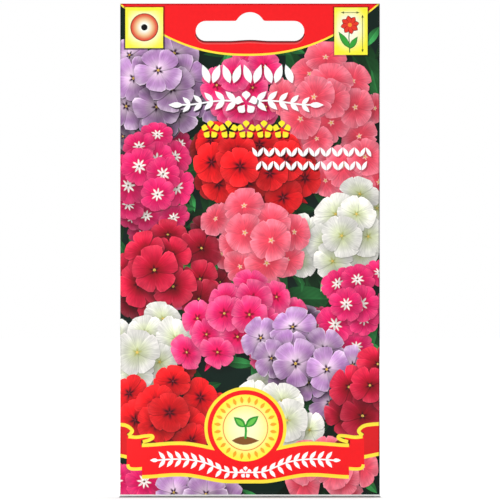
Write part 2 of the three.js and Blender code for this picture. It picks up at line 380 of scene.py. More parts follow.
def flap_edge(length, fold_v, v_from_end):
    """The right edge of a flap, from its fold to its free end."""
    points = [(HALF, fold_v)]
    for share in CORNER_STEPS:
        from_end = share * FLAP_CORNER
        straight = HALF - FLAP_TAPER * (length - from_end) / length
        inset = FLAP_CORNER - math.sqrt(FLAP_CORNER**2 - (FLAP_CORNER - from_end) ** 2)
        points.append((straight - inset, v_from_end(from_end)))
    return points


BACK_FOLD = 2 * (HALF - PAPER / 2 - TOP_FOLD_RADIUS) + TOP_TURN  # u where a back panel meets the middle line
PANEL_EDGE = BACK_FOLD + LAP / 2
PANEL_FOOT = BACK_FOOT - BOTTOM
PANEL_TOP = BACK_TOP - BOTTOM
FLAP_FOOT_END = FIRST - BOTTOM_TURN - (BOTTOM + BOTTOM_FLAP - BOTTOM_FOLD_LINE)
FLAP_TOP_END = LAST + TOP_TURN + TOP_FOLD_LINE - (TOP - TOP_FLAP)
low_edge = flap_edge(BOTTOM_FLAP, FIRST - BOTTOM_TURN, lambda from_end: FLAP_FOOT_END + from_end)
high_edge = flap_edge(TOP_FLAP, LAST + TOP_TURN, lambda from_end: FLAP_TOP_END - from_end)
panel = [(HALF, PANEL_FOOT), (PANEL_EDGE, PANEL_FOOT), (PANEL_EDGE, PANEL_TOP), (HALF, PANEL_TOP)]
right_side = [*low_edge[::-1], *panel, *high_edge]
blank_outline = right_side + [(-u, v) for u, v in right_side[::-1]]
print(f"blank: {2 * PANEL_EDGE:.1f} x {FLAP_TOP_END - FLAP_FOOT_END:.1f} mm, {len(blank_outline)} points")

# %% Draw the hang slot
SLOT_WIDTH = 33.5
SLOT_ARM = 6.2  # height of the long arm
SLOT_HUMP = 2.7  # that the hump rises over the arm
HUMP_WIDTH = 8.4
HUMP_FILLET = 0.6
HUMP_ARC = 0.88  # share of the hump's arc that stays, before the fillets
LIP_RISE = 0.33  # of the lower lip, which handling has pushed up in the middle
LIP_REACH = 6.5  # half the length of that rise


def slot_outline():
    """The hang slot in the packet's x and z: an arm with round ends, a hump, and the pushed-up lip."""
    radius = SLOT_ARM / 2
    end = SLOT_WIDTH / 2 - radius
    half = HUMP_WIDTH / 2
    hump_radius = (half**2 + SLOT_HUMP**2) / (2 * SLOT_HUMP)
    reach = math.asin(half / hump_radius) * HUMP_ARC
    xs = np.linspace(0, LIP_REACH, 7)
    points = list(zip(xs, -SLOT_HUMP - SLOT_ARM + LIP_RISE * (1 - smooth(xs, 0, LIP_REACH))))
    for angle in np.linspace(-math.pi / 2, math.pi / 2, 13):
        points.append((end + radius * math.cos(angle), -SLOT_HUMP - radius + radius * math.sin(angle)))
    fillet_start = np.array([half + HUMP_FILLET, -SLOT_HUMP])
    fillet_bend = np.array([half, -SLOT_HUMP])
    fillet_end = hump_radius * np.array([math.sin(reach), math.cos(reach) - 1])
    for t in np.linspace(0, 0.8, 5):
        points.append(tuple((1 - t) ** 2 * fillet_start + 2 * t * (1 - t) * fillet_bend + t**2 * fillet_end))
    for angle in np.linspace(reach, 0, 8):
        points.append((hump_radius * math.sin(angle), hump_radius * (math.cos(angle) - 1)))
    mirrored = [(-x, z) for x, z in points[1:-1][::-1]]
    return np.array(points + mirrored)


slot = slot_outline()
slot_front = pairs(slot[:, 0], slot[:, 1] - BOTTOM)
slot_flap = pairs(slot[:, 0], LAST + TOP_TURN + TOP_FOLD_LINE - slot[:, 1])
print("slot:", np.ptp(slot, axis=0).round(2), "mm,", len(slot), "points")

# %% [markdown]
# ## The sheet's own colours
#
# The whole blank is white coated paper, and everything else is laid on it. The flat inks that several parts
# of the artwork share are named here once, as a printer mixes them once for a run.

# %% Sheet and shared inks
WHITE = ink(250, 250, 248)
ORNAMENT_WHITE = ink(255, 255, 255)
RED = ink(249, 26, 32)
YELLOW = ink(255, 232, 66)
PALE_YELLOW = ink(255, 250, 214)
RULE_GREEN = ink(52, 122, 74)
PANEL_GREEN = ink(56, 166, 58)
lay(blank_outline, WHITE, "sheet")
print("red as linear light:", RED.round(3))

# %% [markdown]
# ## Foliage
#
# Behind the blossoms lies greenery: a very dark ground, then large leaves and small ones in many directions,
# lighter towards the top of each layer. They could be one noise pattern in a material, but real leaves have
# edges, so each is a blade outline with its own frame, in which the material draws the ribs.

# %% Leaves behind the blossoms
PICTURE_EDGE = HALF + 1.6  # the print runs on a little round the side folds
MARGIN = 0.61  # unprinted strip along the foot
LEAF_GREEN = ink(46, 128, 64)
LIGHT_FROM = np.array([-0.45, 0.89])
draw = random.Random(11)
lay(rectangle(-PICTURE_EDGE, MARGIN, PICTURE_EDGE, HEIGHT + 0.2), ink(8, 32, 24), pictured=True)


def vary(most):
    """A random number, up to most to either side of nothing."""
    return draw.uniform(-most, most)


def lay_leaf(base, angle, length, width, tone, green=LEAF_GREEN):
    """A leaf with its own frame, in which its base is the origin and its tip lies at 1."""
    plate = lay(leaf_outline(base, np.array(base) + length * heading(angle), width), green * tone, "leaf")
    plate.origin = np.array(base)
    plate.local = turning(angle).T / length
    plate.marks = {"deep": green * tone * 0.35, "tone": draw.random(), "depth": 0.85}
    return plate


def lay_foliage(count, shortest, longest, darkest, lightest):
    for turn in range(count):
        place = (vary(42), draw.uniform(0, 146))
        length = draw.uniform(shortest, longest)
        tone = darkest + (lightest - darkest) * turn / count * draw.uniform(0.4, 1.0)
        lay_leaf(place, draw.uniform(0, math.tau), length, length * draw.uniform(0.26, 0.36), tone)


lay_foliage(150, 13, 24, 0.06, 1.1)
lay_foliage(130, 6, 12, 0.15, 2.4)
print("leaves laid:", sum(plate.look == "leaf" for plate in plates))

# %% [markdown]
# ## Blossoms
#
# A blossom has a ring of broad petals round a small heart. It could be one outline with lobes, but then no
# petal would lie over its neighbour. So every petal is an outline of its own with a little variation, and a
# slightly moved copy of it lies under it as its shadow.

# %% Draw one petal
PETAL_SHADOW = [0.22, -0.3]  # that a petal's shadow is moved, away from the light


def petal_outline(breadth, notch, count=15):
    """A petal in its own frame, from the heart at 0 to the tip at 1, broadest near the tip."""
    turn = (np.arange(count) + 0.5) / count * math.tau
    along = 0.5 - 0.5 * np.cos(turn)
    halves = breadth * 2 * np.sqrt(along * (1 - along)) * (0.26 + 0.95 * along**1.2)
    across = -halves * np.sign(np.sin(turn))
    along = along - notch * np.exp(-(((turn - math.pi) / 0.5) ** 2))
    waves = [[vary(0.02) * far, vary(0.025) * far] for far in along]
    return pairs(along, across) + waves


def lay_petal(centre, squeeze, size, kind, angle, tone):
    """A petal and its shadow. Petals that point away from the light are darker, as they bend down."""
    length = size * draw.uniform(0.93, 1.06)
    frame_out = squeeze @ turning(angle) * length
    breadth = kind["breadth"] * draw.uniform(0.93, 1.08)
    shape = petal_outline(breadth, draw.uniform(0.2, 1.0) * kind["notch"])
    shape[:, 1] += vary(0.06) * shape[:, 0] ** 2
    outline = centre + shape @ frame_out.T
    lay(outline + PETAL_SHADOW, look="shadow", dims=0.66)
    facing_light = float(turning(angle)[:, 0] @ LIGHT_FROM)
    tone = 1 - kind["depth"] * (1 - tone * draw.uniform(0.8, 1.06) * (1 + 0.1 * facing_light))
    plate = lay(outline, kind["ink"] * tone, "petal")
    plate.origin = centre
    plate.local = np.linalg.inv(frame_out)
    plate.marks = {**kind, "deep": kind["deep"] * tone, "breadth": breadth, "tone": draw.random()}
    plate.marks["lit"] = float(turning(angle)[:, 1] @ LIGHT_FROM) + vary(0.3)


print("a petal's shadow is moved by", PETAL_SHADOW, "mm")

# %% Draw one blossom
occluders = []  # what shades the plates under it: its place in the stack, its centre and its measure


def lay_blossom(centre, size, kind, lean_to, lean, tone):
    """A ring of petals round a centre. The blossom is squeezed by lean along the direction lean_to."""
    centre = np.array(centre, dtype=float)
    towards = heading(lean_to)
    squeeze = np.eye(2) - (1 - math.cos(lean)) * np.outer(towards, towards)
    start = draw.uniform(0, math.tau)
    occluders.append((len(plates), centre, np.linalg.inv(squeeze * size)))
    order = list(range(kind["petals"]))
    draw.shuffle(order)
    for petal in order:
        lay_petal(centre, squeeze, size, kind, start + petal * math.tau / kind["petals"] + vary(0.06), tone)


def lay_bud(base, angle, length, colour):
    """A closed bud, with the green cup that holds its foot."""
    lay_leaf(base, angle, length, length * 0.34, 1.0, colour).marks["deep"] = colour * 0.5
    lay_leaf(base, angle, length * 0.42, length * 0.26, 1.2)


print("outlines under the first blossom:", len(plates))

# %% [markdown]
# ## A mixed sowing
#
# The packet shows several colours of one garden flower. Each kind has a petal ink, a deeper ink towards its
# heart, a star or eye of its own colour and size, and a small dot in the middle. They could be drawn from
# random numbers, but a breeder's colours are chosen, so they are written down in a table.

# %% Kinds of blossom
GOLD = (244, 202, 96)
BROWN = (128, 66, 40)
MEASURE_NAMES = ("petals", "size", "breadth", "notch", "reach", "soft", "pale", "depth")
MEASURES = {  # petals and size; a petal's breadth and notch; the star's reach and soft rim; sheen; shade
    "coral": (5, 6.4, 0.63, 0.08, 0.14, 0.06, 0.18, 0.5),
    "scarlet": (6, 6.3, 0.55, 0.04, 0.30, 0.17, 0.02, 1.05),
    "rose": (8, 5.9, 0.42, 0.03, 0.36, 0.05, 0.06, 0.8),
    "pink": (5, 5.8, 0.62, 0.09, 0.26, 0.08, 0.14, 0.6),
    "cream": (5, 6.5, 0.64, 0.05, 0.15, 0.13, 0.2, 0.8),
    "lilac": (5, 7.2, 0.58, 0.04, 0.20, 0.07, 0.5, 1.3),
    "crimson": (5, 6.7, 0.58, 0.07, 0.18, 0.10, 0.04, 1.2),
}
INK_NAMES = ("ink", "deep", "star", "dot")
INKS = {
    "coral": ((255, 98, 122), (244, 70, 92), (255, 206, 190), GOLD),
    "scarlet": ((255, 24, 30), (214, 12, 26), (60, 2, 18), (130, 24, 50)),
    "rose": ((252, 30, 118), (228, 14, 88), (255, 246, 240), BROWN),
    "pink": ((255, 52, 132), (244, 16, 92), (150, 12, 48), GOLD),
    "cream": ((255, 255, 244), (230, 238, 190), (170, 170, 60), GOLD),
    "lilac": ((184, 112, 198), (244, 214, 240), (56, 6, 52), GOLD),
    "crimson": ((236, 20, 68), (160, 6, 28), (50, 2, 16), GOLD),
}
KINDS = {}
for name, measures in MEASURES.items():
    KINDS[name] = dict(zip(MEASURE_NAMES, measures))
    KINDS[name].update((key, ink(*colour)) for key, colour in zip(INK_NAMES, INKS[name]))
    KINDS[name]["lobes"] = float(KINDS[name]["petals"])
print("kinds of blossom:", ", ".join(KINDS))

# %% [markdown]
# ## Flower heads
#
# Blossoms of one kind grow together in a dome. Scattered evenly they would look like wallpaper, so each dome
# is an ellipse filled on a spiral of golden angles, which spaces seeds and florets in nature. Blossoms near
# its rim lean outwards, so they are drawn narrower and darker, and smaller ones lie round it in its shade.

# %% Heads of blossoms
GOLDEN_ANGLE = 2.39996  # in radians: each blossom takes the widest gap that the earlier ones leave


def lay_head(name, centre, size, tilt, count):
    """A dome of blossoms of one kind over an ellipse of the given half sizes, turned by tilt degrees."""
    sort = KINDS[name]
    places = []
    start = draw.uniform(0, math.tau)
    axes = turning(math.radians(tilt)) * size
    for k in range(count):
        share = math.sqrt((k + 0.35) / count)
        offset = axes @ (share * heading(start + k * GOLDEN_ANGLE))
        places.append((share, np.array(centre) + offset + [vary(1.3), vary(1.3)]))
    for share, place in sorted(places, key=lambda entry: -entry[0] + draw.uniform(0, 0.5)):
        offset = (place - centre) / max(size)
        tone = 0.97 + 0.1 * float(offset @ LIGHT_FROM) - 0.06 * share**2
        tone *= draw.choice((1.04, 1.0, 0.94, 0.8))
        grown = sort["size"] * (1.05 - 0.1 * share) * draw.uniform(0.9, 1.1)
        lay_blossom(place, grown, sort, math.atan2(offset[1], offset[0]), 0.1 + 0.6 * share, tone)


def lay_low_blossoms(name, centre, size, tilt, count):
    """Smaller blossoms and a bud round the rim of a head, deep in its shade, whichever way it is tilted."""
    sort = KINDS[name]
    for k in range(round(count * 0.35)):
        angle = draw.uniform(0, math.tau)
        place = np.array(centre) + heading(angle) * (sum(size) / 2) * draw.uniform(0.95, 1.3)
        if k == 0:
            lay_bud(place, angle, sort["size"] * 0.8, sort["deep"] * 0.9)
        else:
            grown = sort["size"] * draw.uniform(0.72, 0.92)
            lay_blossom(place, grown, sort, angle, 0.75, draw.uniform(0.3, 0.55))


print(f"golden angle: {math.degrees(GOLDEN_ANGLE):.1f} degrees")

# %% Plant the bed
HEADS = [  # kind, centre, half sizes, tilt in degrees, number of blossoms
    ("lilac", (-27, 126), (17, 13), -20, 11),
    ("pink", (-1, 127), (12, 12), 0, 8),
    ("coral", (23, 121), (15, 15), 35, 13),
    ("rose", (-30, 98), (12, 15), 10, 13),
    ("coral", (32, 100), (10, 9), 0, 5),
    ("scarlet", (1, 101), (19, 11), -15, 13),
    ("cream", (29, 82), (17, 11), 30, 12),
    ("crimson", (-26, 69), (16, 13), 20, 11),
    ("coral", (3, 79), (15, 11), -30, 10),
    ("rose", (33, 59), (11, 13), 0, 9),
    ("cream", (-32, 45), (12, 12), 0, 8),
    ("pink", (-4, 55), (19, 11), 25, 14),
    ("lilac", (17, 41), (18, 12), -25, 12),
    ("scarlet", (-25, 24), (16, 13), 15, 12),
    ("crimson", (37, 30), (9, 14), 0, 7),
    ("cream", (8, 24), (13, 9), -20, 7),
    ("coral", (24, 9), (12, 8), 0, 6),
    ("rose", (-36, 3), (9, 7), 0, 4),
    ("lilac", (-14, 2), (12, 6), 0, 5),
]
for lay_part in (lay_low_blossoms, lay_head):
    for head in HEADS:
        lay_part(*head)
print("blossoms laid:", len(occluders))

# %% [markdown]
# ## Back panels and foot
#
# The picture runs a little way round the side folds, as a printed bleed does, and is cut off there by plain
# white. The back is kept simple: a ruled table for a sowing calendar and a few rules for notes. It could be
# left bare, but real packets rarely are. Each outline is laid on both panels, and each panel keeps what lies
# on it, so the seam cuts nothing short.

# %% White back and foot
FAR_DOWN, FAR_OUT, FAR_UP = -20, 100, 200  # past the edges of the blank
for side in (-1, 1):
    lay(rectangle(PICTURE_EDGE, FAR_DOWN, FAR_OUT, FAR_UP) * [side, 1], WHITE)
lay(rectangle(-PICTURE_EDGE, FAR_DOWN, PICTURE_EDGE, MARGIN), WHITE)


def lay_on_back(outline, colour):
    """Lays an outline given in the packet's x and z on both back panels: each keeps what lies on it."""
    outline = np.asarray(outline, dtype=float)
    for side in (1, -1):
        lay(pairs(side * (BACK_FOLD - side * outline[:, 0]), outline[:, 1] - BOTTOM), colour)


print(f"bleed {PICTURE_EDGE - HALF:.1f} mm, unprinted foot {MARGIN} mm")

# %% Sowing table
TABLE_EDGE = 33  # left and right of the middle
TABLE_TOP = -46
MONTH = 5.5  # width of a month's column
ROW = 5  # height of a row
RULE = 0.12  # half the thickness of a rule
CALENDAR_INKS = (ink(96, 178, 90), ink(240, 190, 60), ink(236, 92, 96))
SPANS = ((2, 4), (4, 6), (6, 9))  # the months that each ink fills
before = len(plates)
lay_on_back(rectangle(-35, -92, 35, -34), PALE_YELLOW)
lay_on_back(rectangle(-35, -42, 35, -34), RULE_GREEN)
for month in range(13):
    x = month * MONTH - TABLE_EDGE
    lay_on_back(rectangle(x - RULE, TABLE_TOP - 4 * ROW, x + RULE, TABLE_TOP), RULE_GREEN)
for row in range(5):
    z = TABLE_TOP - row * ROW
    lay_on_back(rectangle(-TABLE_EDGE - RULE, z - RULE, TABLE_EDGE + RULE, z + RULE), RULE_GREEN)
for row, ((first, last), colour) in enumerate(zip(SPANS, CALENDAR_INKS), start=1):
    top = TABLE_TOP - row * ROW
    left, right = first * MONTH - TABLE_EDGE, last * MONTH - TABLE_EDGE
    lay_on_back(rectangle(left + 0.3, top - 4.4, right - 0.3, top - 0.6), colour)
for month in range(12):
    x = (month + 0.5) * MONTH - TABLE_EDGE
    lay_on_back(leaf_outline((x - 1.5, -39.2), (x + 1.5, -36.8), 1.3), WHITE)
report("sowing table", before)

# %% Legend and rules for notes
before = len(plates)
for row, colour in enumerate(CALENDAR_INKS):
    z = -73 - row * 6
    lay_on_back(rectangle(-TABLE_EDGE, z - 1.8, -28, z + 1.8), colour)
    lay_on_back(rectangle(-25, z - 1.6, TABLE_EDGE, z - 1.4), RULE_GREEN)
for row in range(8):
    z = -99 - row * 4.6
    lay_on_back(rectangle(-TABLE_EDGE, z - RULE, TABLE_EDGE, z + RULE), ink(96, 140, 108))
report("legend and rules", before)

# %% [markdown]
# ## The head of the packet
#
# The red head field ends in a shallow hanging curve with a yellow edge. Its ends run out in the top corners,
# and the red runs on over the top fold and covers the flap. An arc of a circle would be too full near its
# ends, so the curve is a power of the distance from its lowest point.

# %% Head field and its curve
CURVE_MIDDLE = -0.8
CURVE_FOOT = 136.5
CURVE_RISE = 15.83
CURVE_REACH = (39.4, 40.6)  # left and right of its lowest point
CURVE_POWER = 2.25
EDGE_WIDTH = 0.66
before = len(plates)


def head_curve(drop):
    u = np.linspace(-PICTURE_EDGE, PICTURE_EDGE, 83)
    reach = np.where(u < CURVE_MIDDLE, *CURVE_REACH)
    v = CURVE_FOOT - drop + CURVE_RISE * np.abs((u - CURVE_MIDDLE) / reach) ** CURVE_POWER
    return pairs(u, np.minimum(v, HEIGHT + 2))


flap_corners = [(PICTURE_EDGE, FLAP_TOP_END + 1), (-PICTURE_EDGE, FLAP_TOP_END + 1)]
lay([*head_curve(EDGE_WIDTH), *flap_corners], YELLOW)
lay([*head_curve(0), *flap_corners], RED)
lay(rectangle(-PICTURE_EDGE, HEIGHT + 0.1, PICTURE_EDGE, FLAP_TOP_END + 1), RED)
lay(rectangle(-PICTURE_EDGE, FLAP_TOP_END - 1.9, PICTURE_EDGE, FLAP_TOP_END - 1.2), YELLOW)
report("head field", before)

# %% [markdown]
# ## Shade under the hang slot
#
# A dark line runs along the lower edge of the hang slot, with a darker red and a paler red line under it.
# The dark lines are painted shade along the slot's lower edge. A dent in the mesh would be finer than the
# paper
# is thick, so they are laid in ink: three strokes that follow the lower half of the slot.

# %% Painted shade under the hang slot
slot_low = slot_front[slot_front[:, 1] < -BOTTOM - SLOT_HUMP - SLOT_ARM * 0.62]
slot_low = slot_low[np.argsort(slot_low[:, 0])]
SLOT_SHADE_STROKES = ((0.85, 0.34, (236, 84, 84)), (0.5, 0.4, (196, 40, 42)), (0.14, 0.6, (104, 28, 30)))
# The dark and the darker red strokes are painted shade under the slot's edge; the paler one lies below them.
for drop, width, colour in SLOT_SHADE_STROKES:
    lay(stroke(slot_low + [0, -drop], width), ink(*colour))
print("points along the lip:", len(slot_low))

# %% [markdown]
# ## Sun and growth panels
#
# Two yellow panels sit on the head: one with a sun for the light that the plants like, and one with a
# blossom and two plain arrows for its size. Their inks fade outwards. A gradient in the material would need
# a finish of its own, so a plate may instead give its ink as a function of the place, worked out at every
# corner. Copies of the plate, one inside the other, make sure that there are corners enough.

# %% Inks that change from the middle outwards
def glow(centre, reach, inner, *changes):
    """An ink by the distance from a centre: inner, then each change of (start, end, colour) over it."""

    def ink_at(points):
        away = np.linalg.norm((points - centre) / reach, axis=1)
        colours = inner
        for start, end, colour in changes:
            share = smooth(away, start, end)[:, None]
            colours = colours * (1 - share) + colour * share
        return colours

    return ink_at


def lay_discs(centre, radius, shares, count, colour):
    for share in shares:
        lay(disc(centre, radius * share, count), colour)


def lay_panel(left, bottom, right, top, centre, reach):
    """A yellow panel with a soft dark rim and a pale glow round a centre."""
    for rim, dims in ((0.5, 0.6), (0.3, 0.3)):
        outline = rectangle(left - rim, bottom - rim - 0.1, right + rim + 0.1, top + rim * 0.7)
        lay(outline, look="shadow", dims=dims)
    glowing = glow(centre, reach, ink(255, 255, 232), (0.35, 1.1, ink(255, 247, 62)))
    width, height = (right - left) / 2, (top - bottom) / 2
    for share in (1.0, 0.86, 0.7, 0.52):
        middle = np.array([left + right, bottom + top]) / 2
        lay(middle + rectangle(-width, -height, width, height) * share, glowing)


print("ink at the middle of a glow:", glow(np.zeros(2), 1.0, YELLOW)(np.zeros((1, 2))).round(2))

# %% Sun panel
SUN = np.array([-32.58, 144.66])
SUN_RADIUS = 4.05
before = len(plates)
lay_panel(-38.45, 138.25, -26.78, 150.86, SUN, np.array([6.6, 7.0]))
lay(disc(SUN, SUN_RADIUS + 0.26, 44), ink(136, 50, 30))
SUN_INKS = ink(255, 255, 244), ink(246, 206, 150), ink(228, 80, 58)
sunny = glow(SUN, SUN_RADIUS, SUN_INKS[0], (0.25, 0.68, SUN_INKS[1]), (0.55, 0.98, SUN_INKS[2]))
lay_discs(SUN, SUN_RADIUS, (1.0, 0.9, 0.8, 0.7, 0.6, 0.5, 0.38, 0.26), 36, sunny)
lay(disc(SUN, 0.98, 20), ink(14, 10, 16))
report("sun panel", before)

# %% Growth panel
before = len(plates)
lay_panel(26.0, 136.15, 36.25, 150.8, np.array([30.6, 144.4]), np.array([5.6, 7.2]))
BLOOM = np.array([30.8, 145.4])
DARK_GREEN = ink(40, 118, 40)
lay(stroke([(30.6, 143.2), (30.5, 141.5), (30.6, 139.6), (30.75, 136.9)], 0.3), ink(64, 112, 52))
lay(leaf_outline((30.75, 138.2), (27.3, 143.3), 1.9), DARK_GREEN)
lay(leaf_outline((30.7, 138.5), (27.5, 143.0), 1.5), PANEL_GREEN)
lay(leaf_outline((30.7, 138.0), (33.2, 141.8), 1.8), DARK_GREEN)
lay(leaf_outline((30.75, 138.3), (33.0, 141.5), 1.4), PANEL_GREEN)
for petal in range(8):
    tip = BLOOM + 2.95 * heading(0.2 + petal * math.tau / 8)
    lay(leaf_outline(BLOOM, tip, 1.75, belly=0.6), ink(140, 34, 22))
    lay(leaf_outline(BLOOM, BLOOM + (tip - BLOOM) * 0.93, 1.4, belly=0.6), ink(236, 56, 40))
lay(disc(BLOOM, 0.62, 16), ink(250, 150, 50))
report("growth panel", before)

# %% Arrows for the plant's size
before = len(plates)


def lay_arrow(start, end, colour=ink(70, 76, 18)):
    """A thin line with a head at both ends."""
    start, end = np.array(start), np.array(end)
    along = (end - start) / np.linalg.norm(end - start)
    lay(stroke([start + along * 0.6, end - along * 0.6], 0.16), colour)
    for tip, back in ((start, along), (end, -along)):
        side = np.array([-back[1], back[0]]) * 0.34
        lay([tip, tip + back * 0.95 + side, tip + back * 0.95 - side], colour)


lay_arrow((28.0, 149.2), (33.8, 149.2))
lay_arrow((34.7, 148.6), (34.7, 136.9))
report("arrows", before)

# %% [markdown]
# ## Ornaments
#
# Rows of plain leaves and small blossoms stand where a packet usually carries its lines of words, in white
# and yellow with a dark shadow to the lower right. Letters would have to name something, and a row of leaves
# is as lively. Each row is laid twice: once as the shadow, once in ink.

# %% Shapes of the ornaments
SHADOW_STEP = np.array([0.45, -0.5])


def lay_ornament(shapes, colour=ORNAMENT_WHITE):
    for shape in shapes:
        lay(shape + SHADOW_STEP, look="shadow", dims=0.2)
    for shape in shapes:
        lay(shape, colour)


def small_bloom(centre, size):
    """Five pointed petals round a bare middle."""
    shapes = []
    for petal in range(5):
        reach = heading(math.pi / 2 + petal * math.tau / 5)
        tip = centre + size * reach
        shapes.append(leaf_outline(centre + 0.2 * size * reach, tip, 0.72 * size, belly=0.62))
    return shapes


def upright_leaves(centre, width, height, count, slant):
    """A row of leaves on end, each slanted in turn to the left and the right."""
    shapes = []
    for k in range(count):
        u = centre[0] + (k / (count - 1) - 0.5) * (width - height * 0.5)
        tilt = slant if k % 2 else -slant
        reach = np.array([math.sin(tilt), math.cos(tilt)]) * height / 2 / math.cos(tilt)
        middle = np.array([u, centre[1]])
        shapes.append(leaf_outline(middle - reach, middle + reach, height * 0.42))
    return shapes


print("shapes of a small bloom:", len(small_bloom(np.zeros(2), 1.0)))

# %% Sprigs and garlands
def sprig(stem, thickness, side, reach, leaves, end_leaf):
    """A stem with a pair of leaves at each inner point, sized as in leaves, and a single leaf at its end."""
    shapes = [stroke(stem, thickness)]
    for base, (size, width) in zip(stem[1:-1], leaves):
        for up in (1, -1):
            tip = base + np.array([side * reach[0], up * reach[1]]) * size
            shapes.append(leaf_outline(base, tip, width))
    back, ahead, width = end_leaf
    end = np.array(stem[-1])
    shapes.append(leaf_outline(end - [side * back, 0], end + [side * ahead, 0], width))
    return shapes


def garland(centre, half_width, leaf, count, rise):
    """A sprig to each side of a middle blossom."""
    shapes = []
    sizes = [leaf * (1 - 0.06 * k) for k in range(count)]
    for side in (-1, 1):
        stem = [(centre[0] + side * 2.5, centre[1])]
        for k in range(count + 1):
            share = (k + 0.9) / (count + 0.6)
            swing = rise * math.sin(share * math.pi * 1.5)
            stem.append((centre[0] + side * half_width * share, centre[1] + swing))
        leaves = [(size, size * 0.42) for size in sizes]
        shapes += sprig(stem, 0.5, side, (0.72, 0.7), leaves, (1.2, leaf * 0.75, leaf * 0.4))
    return shapes


print("shapes of a garland with five pairs of leaves a side:", len(garland(np.zeros(2), 10.0, 1.0, 5, 0.0)))

# %% Rows of ornament
before = len(plates)
GARLAND_MIDDLE = np.array([-1.2, 121.4])
lay_ornament(upright_leaves((-0.8, 130.3), 28.5, 5.8, 9, 0.35))
lay_ornament(garland(GARLAND_MIDDLE, 19.6, 4.4, 5, 0.7))
lay_ornament(small_bloom(GARLAND_MIDDLE, 3.7))
yellow_row = [small_bloom(np.array([-1.2 + 5.5 * k, 113.1]), 2.9) for k in (-2, -1, 0, 1, 2)]
lay_ornament(sum(yellow_row, []), ink(255, 240, 50))
lay_ornament(upright_leaves((19.0, 106.2), 36.5, 2.9, 21, 0.5))
lay_ornament(upright_leaves((19.0, 102.0), 34.0, 2.9, 19, -0.5))
report("ornaments", before)

# %% [markdown]
# ## Ribbon
#
# A red banner with yellow edges lies across the foot, folded back twice at each end so that it climbs to the
# packet's sides. It could be modelled as a strip and flattened, but it is only drawn, so it is laid as a
# draughtsman draws it, from the back to the front: its outer tails, its inner tails with the folds, then the
# main band, whose middle line swings gently.

# %% Ribbon tails
BAND_MIDDLE = -1.4
BAND_REACH = 31.9
BAND_HALF = 4.88
CORD = 1.1  # width of the yellow edging
RIBBON_SHADE = ink(222, 26, 32)
RIBBON_DARK = ink(120, 12, 22)
before = len(plates)


def lay_tail(side):
    """The two folds at one end of the banner. Points are given by their distance from its middle."""

    def at(points):
        return np.array([(BAND_MIDDLE + side * away, v) for away, v in points])

    outer_edge = [(44, 22.6), (38.6, 22.2), (36.6, 21.8), (35.4, 21.0), (34.9, 20.2)]
    outer_edge += [(35.4, 19.4), (36.2, 18.8)]
    inner_edge = [(36.1, 18.5), (33.6, 18.3), (30.8, 18.7), (28.9, 18.75), (28.6, 18.1)]
    inner_edge += [(29.8, 17.4), (31.6, 16.9)]
    outer_foot = [(44, 13.7), (41.0, 13.1), (38.5, 12.6), (35.0, 11.9)]
    inner_foot = [(36.3, 9.9), (36.1, 9.1), (35.3, 8.6), (33.6, 8.5), (31.0, 8.7)]
    lay(at([*outer_foot, (35.0, 20.2), (36.6, 21.8), (44, 22.6)]), RIBBON_SHADE)
    lay(stroke(bend(at(outer_foot)), CORD), YELLOW)
    lay(at([(36.6, 19.6), (34.9, 20.4), (34.6, 19.0), (36.4, 18.6)]), RIBBON_DARK)
    lay(stroke(bend(at(outer_edge)), CORD), YELLOW)
    face = [(36.6, 9.9), (36.1, 9.1), (35.3, 8.6), (30.6, 8.7), (30.6, 18.6), (33.6, 18.2), (36.6, 18.6)]
    lay(at(face), RED)
    lay(at([(32.2, 17.4), (29.2, 18.0), (26.4, 15.8), (32.2, 15.8)]), RIBBON_DARK)
    lay(stroke(bend(at(inner_foot)), CORD * 0.9), YELLOW)
    lay(stroke(bend(at(inner_edge)), CORD * 0.95), YELLOW)


for side in (-1, 1):
    lay_tail(side)
report("ribbon tails", before)

# %% Ribbon band
SEAL = np.array([-1.4, 21.2])
SEAL_RADIUS = 12.66
before = len(plates)


def band_line(share):
    """The height of the band's middle line, at a signed share of its reach."""
    away = np.abs(share)
    return 9.5 + 2.1 * smooth(away, 0.15, 0.62) - 0.65 * smooth(away, 0.66, 1.0)


def band_outline(half_height):
    share = np.linspace(-1.0, 1.0, 49)
    u = BAND_MIDDLE + BAND_REACH * share
    line = band_line(share)
    return np.concatenate([pairs(u, line - half_height), pairs(u, line + half_height)[::-1]])


lay(band_outline(BAND_HALF + CORD / 2), YELLOW)
lay(disc(SEAL, SEAL_RADIUS, 72), YELLOW)
lay(band_outline(BAND_HALF - CORD / 2), RED)
lay(disc(SEAL, SEAL_RADIUS - 1.0, 72), RED)
report("ribbon band", before)

# %% [markdown]
# ## Vine and seal
#
# A white vine fills the band, and a round seal stands on its middle, with rays like a sun's round a seedling
# with two leaves. A packet carries its maker's sign there. These are plain garden motifs instead, drawn with
# the same leaves and discs as the rest, so they need no tools of their own.

# %% Vine on the band
VINE_PITCH = 0.0775  # share of the band's reach from one pair of leaves to the next
VINE_DIP = 2.0  # that the vine dips under the seal
before = len(plates)
for side in (-1, 1):
    vine = []
    for k in range(12):
        share = side * VINE_PITCH * k
        sunk = VINE_DIP * (1 - float(smooth(abs(share), 0.12, 0.42)))
        vine.append((BAND_MIDDLE + BAND_REACH * share, float(band_line(share)) - sunk))
    leaves = [(0.75 + 0.25 * float(smooth(k, 1, 4)), 1.2) for k in range(1, 11)]
    for shape in sprig(vine, 0.45, side, (2.0, 2.5), leaves, (0.4, 2.2, 1.2)):
        lay(shape, ORNAMENT_WHITE)
for petal in small_bloom(np.array([BAND_MIDDLE, float(band_line(0.0)) - VINE_DIP]), 1.9):
    lay(petal, ORNAMENT_WHITE)
report("vine", before)

